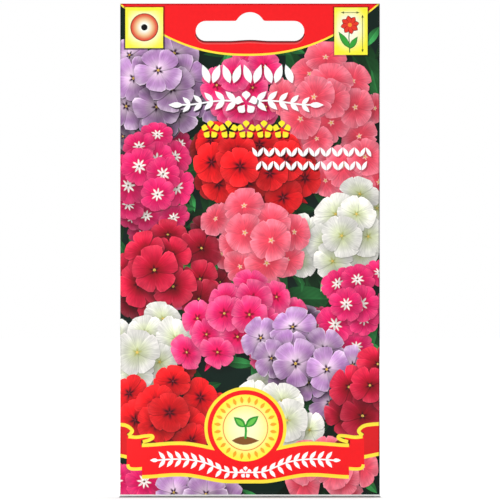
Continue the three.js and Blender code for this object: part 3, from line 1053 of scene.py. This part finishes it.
# %% Seal
FACE_RADIUS = 10.3
face_glow = glow(SEAL, FACE_RADIUS, ink(255, 253, 206), (0.2, 1.0, ink(255, 244, 70)))
before = len(plates)
lay_discs(SEAL, FACE_RADIUS, (1.0, 0.75, 0.5, 0.25), 60, face_glow)
for ray in range(24):
    reach = heading((ray + 0.5) * math.tau / 24)
    lay(leaf_outline(SEAL + 7.6 * reach, SEAL + 9.8 * reach, 1.0), ink(250, 170, 40))
lay(disc(SEAL, 7.0, 48), ink(240, 120, 40))
lay_discs(SEAL, 6.75, (1.0, 0.66, 0.33), 48, face_glow)
soil = SEAL + [0, -3.9]
lay(leaf_outline(soil - [4.2, 0], soil + [4.2, 0], 2.6), ink(134, 84, 40))
lay(stroke([soil + [0, 0.6], soil + [0.15, 3.0], soil + [0, 5.0]], 0.7), PANEL_GREEN)
for side, size in ((-1, 4.6), (1, 5.2)):
    tip = soil + [side * size * 0.78, 4.4 + size * 0.62]
    lay(leaf_outline(soil + [0, 4.2], tip, 2.5), ink(46, 150, 50))
    lay(leaf_outline(soil + [side * 0.5, 4.5], tip - [side * 0.6, 0.5], 1.3), ink(110, 200, 80))
report("seal", before)

# %% [markdown]
# ## Cut-outs
#
# The die cuts the slot through ink and paper alike, so its outlines are laid last, over everything. A
# Boolean cut through the folded sheet would cross its faces at odd places. As an outline of the
# stack, the slot gets the same clean edge as the artwork.

# %% Cut-outs
lay(slot_front, look="hole")
lay(slot_flap, look="hole")
print("outlines laid:", len(plates))

# %% [markdown]
# ## Cutting the blank into faces
#
# Boolean cuts or a knife could print the outlines into a mesh one by one, but there are thousands of them.
# So all outlines and the lines of the folds go into one triangulation. It never crosses an outline, so every
# small face lies under one stack of plates: the topmost gives the face its ink, and shadows above it darken
# it. Most outlines are hidden under others. So the lines that divide nothing visible are dropped, a grid of
# loose points is added to carry the paper's curves, and what is left is triangulated once more.

# %% Lines of the folds
FOLD_SHADE_REACH = 0.5  # how far the painted shade along a fold reaches over the front


def fold_lines():
    """Long lines of points where the paper turns, so that each fold bends in narrow strips."""
    heights = np.linspace(BACK_FOOT, BACK_TOP, 72)
    radius, axis = side_fold(heights)
    turns = np.linspace(0, math.pi, 7)
    lines = [pairs(side * (axis + turn * radius), heights - BOTTOM) for turn in turns for side in (-1, 1)]
    across = np.linspace(-HALF, HALF, 41)
    low_turns = FIRST - np.linspace(0, BOTTOM_TURN, 9)
    high_turns = LAST + np.linspace(0, TOP_TURN, 7)
    for v in (*low_turns, *high_turns, PANEL_FOOT, PANEL_TOP, PANEL_TOP + CUT_FADE, LAST - FOLD_SHADE_REACH):
        lines.append(pairs(across, np.full_like(across, v)))
    ramp_foot = BACK_FOLD - LAP / 2 - LAP_EASE - LAP_RAMP
    for foot, top, us in (
        (FIRST, LAST, (FOLD_SHADE_REACH - HALF, HALF - FOLD_SHADE_REACH)),
        (PANEL_FOOT, PANEL_TOP, np.linspace(ramp_foot, BACK_FOLD - LAP / 2 - LAP_EASE, 4)),
    ):
        heights = np.linspace(foot, top, 60)
        lines.extend(pairs(np.full_like(heights, u), heights) for u in us)
    return lines


print("fold lines:", len(fold_lines()))

# %% Loose points for the curves of the paper
def loose_points():
    """A grid to carry the paper's curves: close on the front, wider on the back and the flaps."""
    points = []
    for pitch, left, bottom, right, top in (
        (3.0, -HALF + 0.9, 2.0, HALF - 0.9, HEIGHT - 1.0),
        (4.0, HALF + 2.5, PANEL_FOOT + 1, PANEL_EDGE - 1, PANEL_TOP - 1),
        (4.0, -PANEL_EDGE + 1, PANEL_FOOT + 1, -HALF - 2.5, PANEL_TOP - 1),
        (3.0, -HALF + 3, LAST + 1.5, HALF - 3, FLAP_TOP_END - 1),
        (3.0, -HALF + 3, FLAP_FOOT_END + 1, HALF - 3, FIRST - BOTTOM_TURN - 0.5),
    ):
        us = np.linspace(left, right, round((right - left) / pitch) + 1)
        vs = np.linspace(bottom, top, round((top - bottom) / pitch) + 1)
        grid_u, grid_v = np.meshgrid(us, vs)
        grid_u = grid_u + np.where(np.arange(len(vs)) % 2, pitch * 0.49, 0)[:, None]
        points.append(pairs(grid_u.ravel(), grid_v.ravel()))
    return np.concatenate(points)


print("loose points:", len(loose_points()))

# %% First cut: every outline
SNAP = 1e-3  # points closer together than this become one


def triangulate(points, edges, rings):
    """Triangles that keep to the edges and rings: within the rings, or without rings over all points."""
    return delaunay_2d_cdt([Vector(point) for point in points], edges, rings, 1 if rings else 0, SNAP, True)


points, rings, seams = [], [], []
for plate in plates:
    rings.append(list(range(len(points), len(points) + len(plate.outline))))
    points.extend(plate.outline)
for line in fold_lines():
    seams.extend((k, k + 1) for k in range(len(points), len(points) + len(line) - 1))
    points.extend(line)
first_cut = triangulate(points, seams, rings)

LOOKS = [plate.look for plate in plates]
DIMS = [plate.marks.get("dims", 1.0) for plate in plates]


def read_stack(stack):
    """The topmost opaque plate over a face, and how much the shadows above it leave of the light."""
    looks = [LOOKS[k] for k in stack]
    if "hole" in looks or "sheet" not in looks:
        return -1, 1.0
    top = max(k for k in stack if LOOKS[k] != "shadow")
    return top, min([DIMS[k] for k in stack if k > top], default=1.0)


first_reading = [read_stack(stack) for stack in first_cut[5]]
print("first cut:", len(first_cut[2]), "faces")

# %% Second cut: only what shows
def visible_edges(cut, reading):
    """Edges of a cut that are fold lines, or divide two readings."""
    beside = {}
    for corners, key in zip(cut[2], reading):
        for start, end in zip(corners, corners[1:] + corners[:1]):
            beside.setdefault((min(start, end), max(start, end)), []).append(key)
    kept = []
    for (start, end), source in zip(cut[1], cut[4]):
        keys = beside.get((min(start, end), max(start, end)), [])
        divides = len(set(keys)) > 1 or (len(keys) == 1 and keys[0][0] >= 0)
        on_fold = any(k < len(seams) for k in source) and any(key[0] >= 0 for key in keys)
        if divides or on_fold:
            kept.append((start, end))
    return kept


kept_edges = visible_edges(first_cut, first_reading)
renumber = {}
for edge in kept_edges:
    for k in edge:
        renumber.setdefault(k, len(renumber))
points = [first_cut[0][k] for k in renumber]
points.extend(loose_points())
second_cut = triangulate(points, [(renumber[a], renumber[b]) for a, b in kept_edges], [])
print("second cut:", len(second_cut[2]), "faces")

# %% Read the ink of each face
finder = BVHTree.FromPolygons([(*point, 0.0) for point in first_cut[0]], first_cut[2])
kept_faces, kept_reading = [], []
for corners in second_cut[2]:
    u, v = (sum(second_cut[0][k][axis] for k in corners) / 3 for axis in (0, 1))
    found = finder.ray_cast(Vector((u, v, 1)), Vector((0, 0, -1)))[2]
    if found is not None and first_reading[found][0] >= 0:
        kept_faces.append(corners)
        kept_reading.append(first_reading[found])

face_plate = np.array([top for top, _ in kept_reading])
face_dim = np.array([dim for _, dim in kept_reading])
used, faces = np.unique(np.array(kept_faces), return_inverse=True)
faces = faces.reshape(-1, 3)
blank_points = np.array([tuple(second_cut[0][k]) for k in used])
print("faces on the sheet:", len(faces))

# %% [markdown]
# ## Shade between the blossoms
#
# In a bed of flowers each blossom shades what lies close under it. Light on a flat print can't do that, so
# it is worked out once and stored. For every corner of every face, the blossoms stacked above it are looked
# up: under them it is dark, and lighter again past their rims. The shade falls a little to the lower right,
# away from the light.

# %% Shade from the blossoms above
SHADE_STEP = np.array([0.5, -0.8])
SHADE_STRENGTH = 0.5
DARKEST = 0.1  # what is left of the light in the deepest shade
corner_uv = blank_points[faces.ravel()]
corner_plate = np.repeat(face_plate, 3)
corner_shade = np.repeat(face_dim, 3)


def of_plates(values):
    """For every corner, the value of the plate that it lies on."""
    return np.array(values)[corner_plate]


def marks_of(name, default):
    return of_plates([plate.marks.get(name, default) for plate in plates])


pictured = of_plates([plate.look in ("petal", "leaf") or "pictured" in plate.marks for plate in plates])
for first, centre, measure in occluders:
    below = pictured & (corner_plate < first)
    offset = corner_uv[below] - centre - SHADE_STEP
    away = np.linalg.norm(offset @ measure.T, axis=1)
    corner_shade[below] *= 1 - SHADE_STRENGTH * (1 - smooth(away, 0.8, 1.32))
corner_shade = np.maximum(1 - marks_of("depth", 1.0) * (1 - corner_shade), DARKEST)
print(f"mean shade on the picture: {corner_shade[pictured].mean():.2f}")

# %% [markdown]
# ## Painted shade along the folds
#
# The ink is darkened most along the right side fold and on the top fold, and less along the left side fold
# and under the top fold: painted shade along the packet's edges. A mask painted by hand would do, but the
# folds are known lines, so their distance gives the shade. It darkens the ink in a band half a millimetre
# wide, and the top fold loses its gloss too, as rubbed coating does.

# %% Painted shade along the folds
def near_line(values, line, start, end):
    """1 on a line, falling to 0 over the distances start to end on both sides of it."""
    return 1 - smooth(np.abs(values - line), start, end)


DEEP_FOLD_SHADE, LIGHT_FOLD_SHADE = 0.7, 0.2  # share of its light that the ink on a fold loses
face_height = corner_uv[:, 1].reshape(-1, 3).mean(axis=1)
on_body = np.repeat((face_height > FIRST) & (face_height < LAST + TOP_TURN), 3)
top_fold_shade_and_rub = near_line(corner_uv[:, 1], LAST + TOP_TURN / 2, 0.1, TOP_TURN / 2 + 0.1)
# Painted shade: the ink darkens along the side folds, under the top fold and on it.
corner_shade *= 1 - DEEP_FOLD_SHADE * near_line(corner_uv[:, 0], HALF, 0.05, FOLD_SHADE_REACH) * on_body
corner_shade *= 1 - LIGHT_FOLD_SHADE * near_line(corner_uv[:, 0], -HALF, 0.1, FOLD_SHADE_REACH) * on_body
corner_shade *= 1 - LIGHT_FOLD_SHADE * near_line(corner_uv[:, 1], LAST, 0.1, FOLD_SHADE_REACH)
corner_shade *= 1 - DEEP_FOLD_SHADE * top_fold_shade_and_rub
# The top fold gets painted shade in its ink, and a rougher, rubbed coating.
print("corners on the rubbed top fold:", int((top_fold_shade_and_rub > 0).sum()))

# %% [markdown]
# ## The folded sheet
#
# A plane that is cut and folded with operators could give the blank, but not faces that end at every printed
# edge. So the mesh is made straight from the triangles, and folded by moving its points. The inks and the
# petals' own frames are stored on it as attributes and a UV map, where the finishes find them.

# %% Fold the printed side
sheet_mesh = bpy.data.meshes.new("paper_sheet")
places = fold(blank_points[:, 0], blank_points[:, 1]) * MM
sheet_mesh.from_pydata(places.tolist(), [], faces.tolist())
sheet = bpy.data.objects.new("paper_sheet", sheet_mesh)
bpy.context.scene.collection.objects.link(sheet)
print("folded sheet:", (np.ptp(places, axis=0) / MM).round(2), "mm")

# %% Store the inks on it
def store(data, field, values):
    """Fills one field of a mesh layer from an array."""
    data.foreach_set(field, np.ascontiguousarray(values, dtype=np.float32).ravel())


def add_attribute(name, values):
    """Stores a number or a colour for every corner of the sheet."""
    if values.ndim == 1:
        store(sheet_mesh.attributes.new(name, "FLOAT", "CORNER").data, "value", values)
    else:
        data = sheet_mesh.attributes.new(name, "FLOAT_COLOR", "CORNER").data
        store(data, "color", np.hstack([values, np.ones((len(values), 1))]))


colours = of_plates([NO_INK if callable(plate.colour) else plate.colour for plate in plates])
for plate in plates:
    mine = corner_plate == plate.order if callable(plate.colour) else np.array([False])
    if mine.any():
        colours[mine] = plate.colour(corner_uv[mine])
add_attribute("ink", colours)
for name in ("deep", "star", "dot"):
    add_attribute(name, marks_of(name, NO_INK))
for name in ("reach", "soft", "lobes", "breadth", "pale", "lit", "tone"):
    add_attribute(name, marks_of(name, 0.0))
add_attribute("shade", corner_shade)
add_attribute("rubbed", top_fold_shade_and_rub)
print("attributes:", len(sheet_mesh.attributes))

# %% Frames of the petals and leaves
locals_ = of_plates([plate.local for plate in plates])
plate_uv = np.einsum("nij,nj->ni", locals_, corner_uv - of_plates([plate.origin for plate in plates]))
store(sheet_mesh.uv_layers.new(name="plate_frame").data, "uv", plate_uv)
blank_layer = sheet_mesh.attributes.new("blank", "FLOAT_VECTOR", "POINT")
store(blank_layer.data, "vector", np.c_[blank_points, np.zeros(len(blank_points))])

SLOTS = {"petal": 1, "leaf": 2}  # every other look is flat ink, in slot 0
face_slot = np.array([SLOTS.get(LOOKS[k], 0) for k in face_plate], dtype=np.int32)
sheet_mesh.polygons.foreach_set("material_index", face_slot)
sheet_mesh.update()
print("faces of flat ink, petal and leaf:", np.bincount(face_slot))

# %% [markdown]
# ## Finishes
#
# Node trees can be wired by hand in the shader editor, but shader maths reads best as formulas. The small
# class below wraps a node's socket, so arithmetic on it adds Math nodes, and the maker's methods add any
# other node. Printed areas share one finish, the thin gloss of coated paper, and differ in base colour.

# %% Formulas for shader nodes
class Socket:
    """An output socket that can be used in a formula."""

    def __init__(self, maker, out):
        self.maker = maker
        self.out = out


def give_operator(name, operation):
    """Teaches sockets one of Python's operators, with the socket on either side of it."""
    setattr(Socket, f"__{name}__", lambda self, other: self.maker.maths(operation, self, other))
    setattr(Socket, f"__r{name}__", lambda self, other: self.maker.maths(operation, other, self))


OPERATORS = {"add": "ADD", "sub": "SUBTRACT", "mul": "MULTIPLY", "truediv": "DIVIDE", "pow": "POWER"}
for name, operation in OPERATORS.items():
    give_operator(name, operation)
print("operators:", ", ".join(OPERATORS))

# %% A maker of finishes
class Finish:
    """Builds the node tree of one material."""

    def __init__(self, name, roughness, specular):
        self.material = bpy.data.materials.new(name)
        self.material.use_nodes = True
        self.tree = self.material.node_tree
        self.tree.nodes.clear()
        self.shader = self.tree.nodes.new("ShaderNodeBsdfPrincipled")
        output = self.tree.nodes.new("ShaderNodeOutputMaterial")
        self.tree.links.new(self.shader.outputs[0], output.inputs[0])
        self.shader.inputs["Roughness"].default_value = roughness
        self.shader.inputs["Specular IOR Level"].default_value = specular

    def node(self, kind, settings, values, output=0):
        """Adds any node: its settings first, then the values or links of its sockets."""
        node = self.tree.nodes.new(kind)
        for name, value in settings.items():
            setattr(node, name, value)
        for name, value in values.items():
            self.feed(node.inputs[name], value)
        return Socket(self, node.outputs[output])

    def feed(self, slot, value):
        if isinstance(value, Socket):
            self.tree.links.new(value.out, slot)
        else:
            slot.default_value = value

    def set(self, name, value):
        self.feed(self.shader.inputs[name], value)

    def maths(self, operation, *values):
        return self.node("ShaderNodeMath", {"operation": operation}, dict(enumerate(values)))

    def attribute(self, name, output="Fac"):
        return self.node("ShaderNodeAttribute", {"attribute_name": name}, {}, output)

    def colour(self, name):
        return self.attribute(name, "Color")

    def vector(self, *values):
        return self.node("ShaderNodeCombineXYZ", {}, dict(enumerate(values)))

    def split(self, vector):
        """The first two coordinates of a vector."""
        return [self.node("ShaderNodeSeparateXYZ", {}, {0: vector}, axis) for axis in (0, 1)]

    def smooth(self, value, start, end):
        settings = {"interpolation_type": "SMOOTHSTEP", "clamp": True}
        return self.node("ShaderNodeMapRange", settings, {0: value, 1: start, 2: end, 3: 0.0, 4: 1.0})

    def mix(self, share, first, second):
        settings = {"data_type": "RGBA", "clamp_factor": True}
        return self.node("ShaderNodeMix", settings, {0: share, 6: first, 7: second}, 2)

    def times(self, colour, share):
        """A colour made lighter or darker by a number."""
        grey = self.node("ShaderNodeCombineColor", {}, {0: share, 1: share, 2: share})
        settings = {"data_type": "RGBA", "blend_type": "MULTIPLY", "clamp_result": False}
        return self.node("ShaderNodeMix", settings, {0: 1.0, 6: colour, 7: grey}, 2)

    def place(self):
        return self.node("ShaderNodeTexCoord", {}, {}, "Object")

    def noise(self, scale, detail=2.0, vector=None, distortion=0.0):
        values = {"Vector": vector or self.place(), "Scale": scale, "Detail": detail}
        return self.node("ShaderNodeTexNoise", {}, values | {"Distortion": distortion})

    def relief(self, strength, distance, height):
        """Feeds a height into the shader's normal."""
        values = {"Strength": strength, "Distance": distance, "Height": height}
        self.set("Normal", self.node("ShaderNodeBump", {}, values))


print("makers of nodes:", ", ".join(name for name in vars(Finish) if not name.startswith("_")))

# %% Coated paper under ink
def printed(name):
    """Coated paper under ink: an even low gloss, faint mottle and the slight tooth of the sheet."""
    finish = Finish(name, 0.42, 0.11)
    mottle = finish.noise(900.0, 3.0)
    finish.set("Roughness", 0.38 + 0.1 * mottle + 0.5 * finish.attribute("rubbed"))
    finish.relief(0.12, 0.00002, finish.noise(5200.0, 2.0))
    return finish, finish.attribute("shade") * (0.955 + 0.09 * mottle)


def flat_ink():
    finish, grain = printed("flat_ink")
    finish.set("Base Color", finish.times(finish.colour("ink"), grain))
    return finish.material


sheet_mesh.materials.append(flat_ink())
print("finish:", sheet_mesh.materials[-1].name)

# %% [markdown]
# ## Petals and leaves
#
# A petal is paler and veined towards its rim, cupped, and marked with a star at its heart; a leaf has a
# midrib and side veins. Both could be cut as more outlines, but veins are too fine and too many. So the
# finishes draw them as formulas, in the frame that each petal or leaf carries: 0 at its base, 1 at its tip.

# %% Petals in ink
WHITE_SHEEN = (0.92, 0.80, 0.90, 1.0)


def petal_ink():
    """A petal in its own frame: deeper towards the heart, veined, cupped, with a star and a dot."""
    finish, grain = printed("petal_ink")
    along, across = finish.split(finish.node("ShaderNodeUVMap", {"uv_map": "plate_frame"}, {}))
    tone, pale = finish.attribute("tone"), finish.attribute("pale")
    radius = (along * along + across * across) ** 0.5
    angle = finish.maths("ARCTAN2", across, along)
    inside = finish.node("ShaderNodeClamp", {}, {"Value": along, "Min": 0.02, "Max": 0.98})
    half = 2.0 * (inside * (1.0 - inside)) ** 0.5 * (0.26 + 0.95 * inside**1.2) * finish.attribute("breadth")
    aside = across / half

    colour = finish.mix(finish.smooth(radius, 0.12, 0.8), finish.colour("deep"), finish.colour("ink"))
    veins = finish.noise(1.7, 3.0, finish.vector(angle * 9.0, radius * 1.6, tone * 40.0))
    cloud = finish.noise(2.3, 1.0, finish.vector(along, across, tone * 90.0))
    sheen = finish.smooth(radius, 0.45, 1.0) * cloud * pale * 1.6
    rim = finish.smooth(finish.maths("ABSOLUTE", aside), 0.84, 1.0) * finish.smooth(radius, 0.25, 0.7)
    colour = finish.mix(sheen + rim * pale * 0.5, colour, WHITE_SHEEN)
    cup = 1.0 + 0.2 * finish.attribute("lit") * aside
    drift = 0.74 + 0.54 * finish.noise(75.0, 1.0)
    light = cup * (1.0 + 0.12 * rim) * drift * (0.66 + 0.66 * veins) * (0.74 + 0.5 * cloud)
    colour = finish.times(colour, light)

    soft = finish.attribute("soft")
    lobes = finish.maths("COSINE", angle * finish.attribute("lobes"))
    bound = finish.attribute("reach") * (0.70 + 0.30 * lobes)
    star = 1.0 - finish.smooth(radius, bound - soft, bound + soft)
    dot = 1.0 - finish.smooth(radius, 0.035, 0.07)
    colour = finish.mix(dot, finish.mix(star, colour, finish.colour("star")), finish.colour("dot"))
    finish.set("Base Color", finish.times(colour, grain))
    return finish.material


sheet_mesh.materials.append(petal_ink())
print("nodes of the petals' finish:", len(sheet_mesh.materials[-1].node_tree.nodes))

# %% Leaves in ink
def leaf_ink():
    """A leaf in its own frame: a pale midrib, slanting side veins and a darker base."""
    finish, grain = printed("leaf_ink")
    along, across = finish.split(finish.node("ShaderNodeUVMap", {"uv_map": "plate_frame"}, {}))
    off_rib = finish.maths("ABSOLUTE", across)
    rib = 1.0 - finish.smooth(off_rib, 0.004, 0.02)
    side_veins = finish.maths("SINE", (along - off_rib * 1.6) * 58.0)
    lit_half = finish.smooth(across, -0.02, 0.02)
    colour = finish.mix(finish.smooth(along, 0.0, 0.7), finish.colour("deep"), finish.colour("ink"))
    light = (0.75 + 0.5 * lit_half) * (0.94 + 0.06 * side_veins) * (0.7 + 0.6 * finish.noise(260.0, 2.0))
    finish.set("Base Color", finish.times(colour, grain * (light + 0.5 * rib)))
    return finish.material


sheet_mesh.materials.append(leaf_ink())
print("nodes of the leaves' finish:", len(sheet_mesh.materials[-1].node_tree.nodes))

# %% [markdown]
# ## Paper, glue and seeds
#
# Inside, the sheet is uncoated, and so are its cut edges: soft white with short fibres. The glue is a dried
# film with streaks from its roller, and a seed has a dull, wrinkled coat. Sculpted wrinkles would cost many
# faces on shapes a millimetre thick, so noise gives them colour, roughness and a little relief.

# %% Bare paper
def bare_paper():
    """The uncoated inner side and the cut edge: soft white, with short fibres."""
    finish = Finish("bare_paper", 0.8, 0.2)
    fibres = finish.noise(2400.0, 4.0, distortion=1.5)
    colour = finish.mix(fibres, (0.74, 0.73, 0.70, 1.0), (0.88, 0.87, 0.84, 1.0))
    finish.set("Base Color", finish.times(colour, 0.94 + 0.1 * finish.noise(160.0, 2.0)))
    finish.relief(0.2, 0.00003, fibres)
    return finish.material


BARE_SLOT = len(sheet_mesh.materials)
sheet_mesh.materials.append(bare_paper())
print("finish of the inner side and the cut edge:", sheet_mesh.materials[-1].name)

# %% Dried glue and seed coats
def dried_glue():
    """Thin dried glue: yellowish, a little glossy, with uneven streaks from the roller."""
    finish = Finish("dried_glue", 0.35, 0.4)
    streaks = finish.noise(600.0, 3.0, distortion=2.0)
    finish.set("Base Color", finish.mix(streaks, (0.62, 0.55, 0.36, 1.0), (0.82, 0.77, 0.58, 1.0)))
    finish.set("Roughness", 0.3 + 0.25 * streaks)
    return finish.material


def seed_coat():
    """A dull brown seed coat, darker where its wrinkled relief is low and paler where it is high."""
    finish = Finish("seed_coat", 0.85, 0.15)
    wrinkles = finish.noise(3200.0, 5.0, distortion=1.2)
    dark = finish.mix(finish.noise(420.0, 2.0), (0.035, 0.022, 0.014, 1.0), (0.10, 0.062, 0.034, 1.0))
    finish.set("Base Color", finish.mix(finish.smooth(wrinkles, 0.35, 0.7), dark, (0.20, 0.13, 0.075, 1.0)))
    finish.set("Roughness", 0.7 + 0.25 * wrinkles)
    finish.relief(0.6, 0.00012, wrinkles)
    return finish.material


node_finishes = {"seed": seed_coat(), "glue": dried_glue()}
dressed = 0
for name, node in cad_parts.items():
    for word, material in node_finishes.items():
        if word in name:
            node.data.materials.clear()
            node.data.materials.append(material)
            dressed += 1
print("nodes with a finish:", dressed)

# %% [markdown]
# ## The paper's thickness
#
# Real paper shows its thickness only at cut edges. Solidify adds the inner side and a rim round every cut.
# The inner side needs no printed edges, so most of its faces are spared by Decimate, which is told by a
# vertex group to leave the printed side alone. Modelling that side by hand would risk a gap along the rim.

# %% Give the paper its thickness
bpy.ops.object.select_all(action="DESELECT")
sheet.select_set(True)
bpy.context.view_layer.objects.active = sheet
bpy.ops.object.modifier_add(type="SOLIDIFY")
solidify = sheet.modifiers[-1]
solidify.thickness = PAPER * MM
solidify.offset = 0
solidify.material_offset = BARE_SLOT
solidify.material_offset_rim = BARE_SLOT
bpy.ops.object.modifier_apply(modifier=solidify.name)
print("sheet with its thickness:", len(sheet_mesh.polygons), "faces")

# %% Thin out the inner side
INNER_SAVING = 0.7  # share of the inner side's faces that its plain paper can spare


def read_mesh():
    """For every corner: its point, whether it is on the rim or the inner side, and its face's normal."""
    count = len(sheet_mesh.polygons)
    slot_of, size_of = np.empty(count, dtype=np.int32), np.empty(count, dtype=np.int32)
    normal_of = np.empty(count * 3, dtype=np.float32)
    sheet_mesh.polygons.foreach_get("material_index", slot_of)
    sheet_mesh.polygons.foreach_get("loop_total", size_of)
    sheet_mesh.polygons.foreach_get("normal", normal_of)
    vertex = np.empty(len(sheet_mesh.loops), dtype=np.int32)
    sheet_mesh.loops.foreach_get("vertex_index", vertex)
    on_rim = np.repeat(size_of == 4, size_of)
    on_inner = np.repeat((slot_of >= BARE_SLOT) & (size_of == 3), size_of)
    return vertex, on_rim, on_inner, np.repeat(normal_of.reshape(-1, 3), size_of, axis=0)


corner_vertex, is_rim, is_inner, _ = read_mesh()
inner_points = np.setdiff1d(corner_vertex[is_inner], corner_vertex[~is_inner])
sheet.vertex_groups.new(name="inner_side").add(inner_points.tolist(), 1.0, "REPLACE")
bpy.ops.object.modifier_add(type="DECIMATE")
thin_out = sheet.modifiers[-1]
thin_out.vertex_group = "inner_side"
thin_out.ratio = 1 - INNER_SAVING * is_inner.sum() / 3 / len(sheet_mesh.polygons)
bpy.ops.object.modifier_apply(modifier=thin_out.name)
print("sheet:", len(sheet_mesh.vertices), "points,", len(sheet_mesh.polygons), "faces")

# %% [markdown]
# ## Even light and a map for baking
#
# Long thin faces catch the light unevenly, and smoothing by angle would blur the folds. So each corner gets
# the exact normal of the folded surface, and the rim keeps its own flat one. The map for baking is the
# blank itself, at full size: nothing is stretched. The plain inner side and the rim are laid small in its
# free corners.

# %% Smooth the folds
corner_vertex, is_rim, is_inner, face_normal = read_mesh()
flat = np.empty(len(sheet_mesh.vertices) * 3, dtype=np.float32)
sheet_mesh.attributes["blank"].data.foreach_get("vector", flat)
flat = flat.reshape(-1, 3)[:, :2].astype(float)
corner_normal = facing(flat[:, 0], flat[:, 1])[corner_vertex]
agreement = np.sum(corner_normal * face_normal, axis=1)
corner_normal = np.where(is_rim[:, None], face_normal, corner_normal * np.sign(agreement)[:, None])
sheet_mesh.polygons.foreach_set("use_smooth", np.ones(len(sheet_mesh.polygons), dtype=bool))
sheet_mesh.normals_split_custom_set(corner_normal.tolist())
print("corners that kept the rim's own normal:", int(is_rim.sum()))

# %% Lay the sheet out flat for baking
MAP_SPAN = 196.0  # the square map's side in millimetres: the printed side is laid out at full size
CORNER_SCALE = 0.21  # of the inner side, beside the top flap, and of the rim, on the flap's other side
OUTER_SPREAD, INNER_SPREAD, SLOT_SPREAD = 0, 0.03, 0.12  # that keep the rim's two edges apart
MIDDLE = np.array([0.0, (FLAP_TOP_END + FLAP_FOOT_END) / 2])
FREE_CORNER = np.array([70.0, 158.9])  # a place beside the top flap, off the blank
place = flat[corner_vertex] - MIDDLE
beside_flap = FREE_CORNER - MIDDLE
place[is_inner] = place[is_inner] * CORNER_SCALE + beside_flap

spread = np.full(len(place), INNER_SPREAD)
centre = np.zeros_like(place)
for slot_centre in (slot_front.mean(axis=0) - MIDDLE, slot_flap.mean(axis=0) - MIDDLE):
    at_slot = np.all(np.abs(place - slot_centre) < [SLOT_WIDTH * 0.6, SLOT_ARM], axis=1)
    centre[at_slot] = slot_centre
    spread[at_slot] = SLOT_SPREAD
behind = np.zeros(len(flat), dtype=bool)
behind[corner_vertex[is_inner]] = True
spread[~behind[corner_vertex]] = OUTER_SPREAD
edge = place + spread[:, None] * (place - centre)
place[is_rim] = edge[is_rim] * CORNER_SCALE + beside_flap * [-1, 1]
bake_uv = place / MAP_SPAN + 0.5
store(sheet_mesh.uv_layers.new(name="OFBake").data, "uv", bake_uv)
print("map from", bake_uv.min(axis=0).round(3), "to", bake_uv.max(axis=0).round(3))

# %% [markdown]
# ## The sheet takes the solid's place
#
# The packed model holds the packet as a plain solid. It could be hidden and kept, but two sheets in one
# place would flicker through each other, so the fine sheet replaces it. It belongs to the part's only body,
# and its print is a finish that can be changed later.

# %% The sheet stands for the packet's solid
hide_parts("paper_packet")
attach(sheet, "root")
print("pieces made:", sheet.name)

# %% [markdown]
# ## Studio
#
# A pale floor lies under the packet's foot, and the light is soft and even, as for a catalogue: a large key
# light from the upper left, a weaker fill from the right, one from above and one behind for the back. A
# plain white floor would be grey in the corners of the picture, so it glows for the camera. Its glow fades
# out in a soft line along the packet's foot, as a painted contact shadow. The surroundings look white too,
# but light the packet less.

# %% Floor
GLOW_NEAR, GLOW_FAR = 0.66, 0.34  # shares of the floor's glow that come back close to the foot and far off
PAINTED_SHADOW_END = 12.0  # the painted shadow ends this many times faster beside the packet than before it
FLOOR_GAP = 0.05  # that the foot stands clear of the floor
bpy.ops.mesh.primitive_plane_add(size=3.0, location=(0, 0, (BOTTOM - FLOOR_GAP) * MM))
floor = bpy.context.active_object
floor.name = "floor"
pale = Finish("pale_floor", 0.9, 0.1)
pale.set("Base Color", pale.mix(pale.noise(30.0), (0.24, 0.24, 0.24, 1), (0.26, 0.26, 0.26, 1)))
floor_x, floor_y = pale.split(pale.place())
beside = PAINTED_SHADOW_END * pale.maths("MAXIMUM", pale.maths("ABSOLUTE", floor_x) - HALF * MM, 0.0)
away = (beside * beside + floor_y * floor_y) ** 0.5
# The glow is held back near the foot: a painted contact shadow on the floor.
glow_with_painted_shadow = GLOW_NEAR * pale.smooth(away, 0.0005, 0.0066) + GLOW_FAR * pale.smooth(away, 0.1, 0.6)
seen = pale.node("ShaderNodeLightPath", {}, {}, "Is Camera Ray")
pale.set("Emission Color", pale.mix(glow_with_painted_shadow * seen, (0, 0, 0, 1), (1, 1, 1, 1)))
pale.shader.inputs["Emission Strength"].default_value = 1.0
floor.data.materials.append(pale.material)
print(f"floor {FLOOR_GAP - BOTTOM:.2f} mm below the slot's crown")

# %% Lights
AIM = Vector((0, 0, (TOP + BOTTOM) / 2 * MM))
LIGHTS = {  # place from the packet's middle, width, depth, power in watts
    "key": ((-0.6, -0.9, 0.0), 0.6, 0.14, 7.6),
    "fill": ((0.35, -1.0, -0.01), 0.7, 0.1, 3.0),
    "overhead": ((0.0, 0.045, 1.1), 1.2, 0.05, 20.0),
    "behind": ((0.4, 1.0, 0.2), 0.8, 0.5, 7.2),
}
for name, (place, width, depth, power) in LIGHTS.items():
    light = bpy.data.lights.new(name, "AREA")
    light.shape = "RECTANGLE"
    light.size = width
    light.size_y = depth
    light.energy = power
    holder = bpy.data.objects.new(name, light)
    holder.location = AIM + Vector(place)
    holder.rotation_euler = (-Vector(place)).to_track_quat("-Z", "Y").to_euler()
    bpy.context.scene.collection.objects.link(holder)
print("lights:", len(LIGHTS))

# %% Surroundings
SKY_LIGHT = 0.16  # that the surroundings give the packet, while the camera sees 1
world = bpy.data.worlds.new("surroundings")
world.use_nodes = True
bpy.context.scene.world = world
sky = world.node_tree.nodes["Background"]
seen = world.node_tree.nodes.new("ShaderNodeLightPath")
brightness = world.node_tree.nodes.new("ShaderNodeMapRange")
brightness.inputs["To Min"].default_value = SKY_LIGHT
brightness.inputs["To Max"].default_value = 1.0
world.node_tree.links.new(seen.outputs["Is Camera Ray"], brightness.inputs["Value"])
world.node_tree.links.new(brightness.outputs[0], sky.inputs["Strength"])
sky.inputs["Color"].default_value = (1.0, 1.0, 1.0, 1.0)
bpy.context.scene.view_settings.view_transform = "Standard"
print("surroundings light the packet at", SKY_LIGHT)
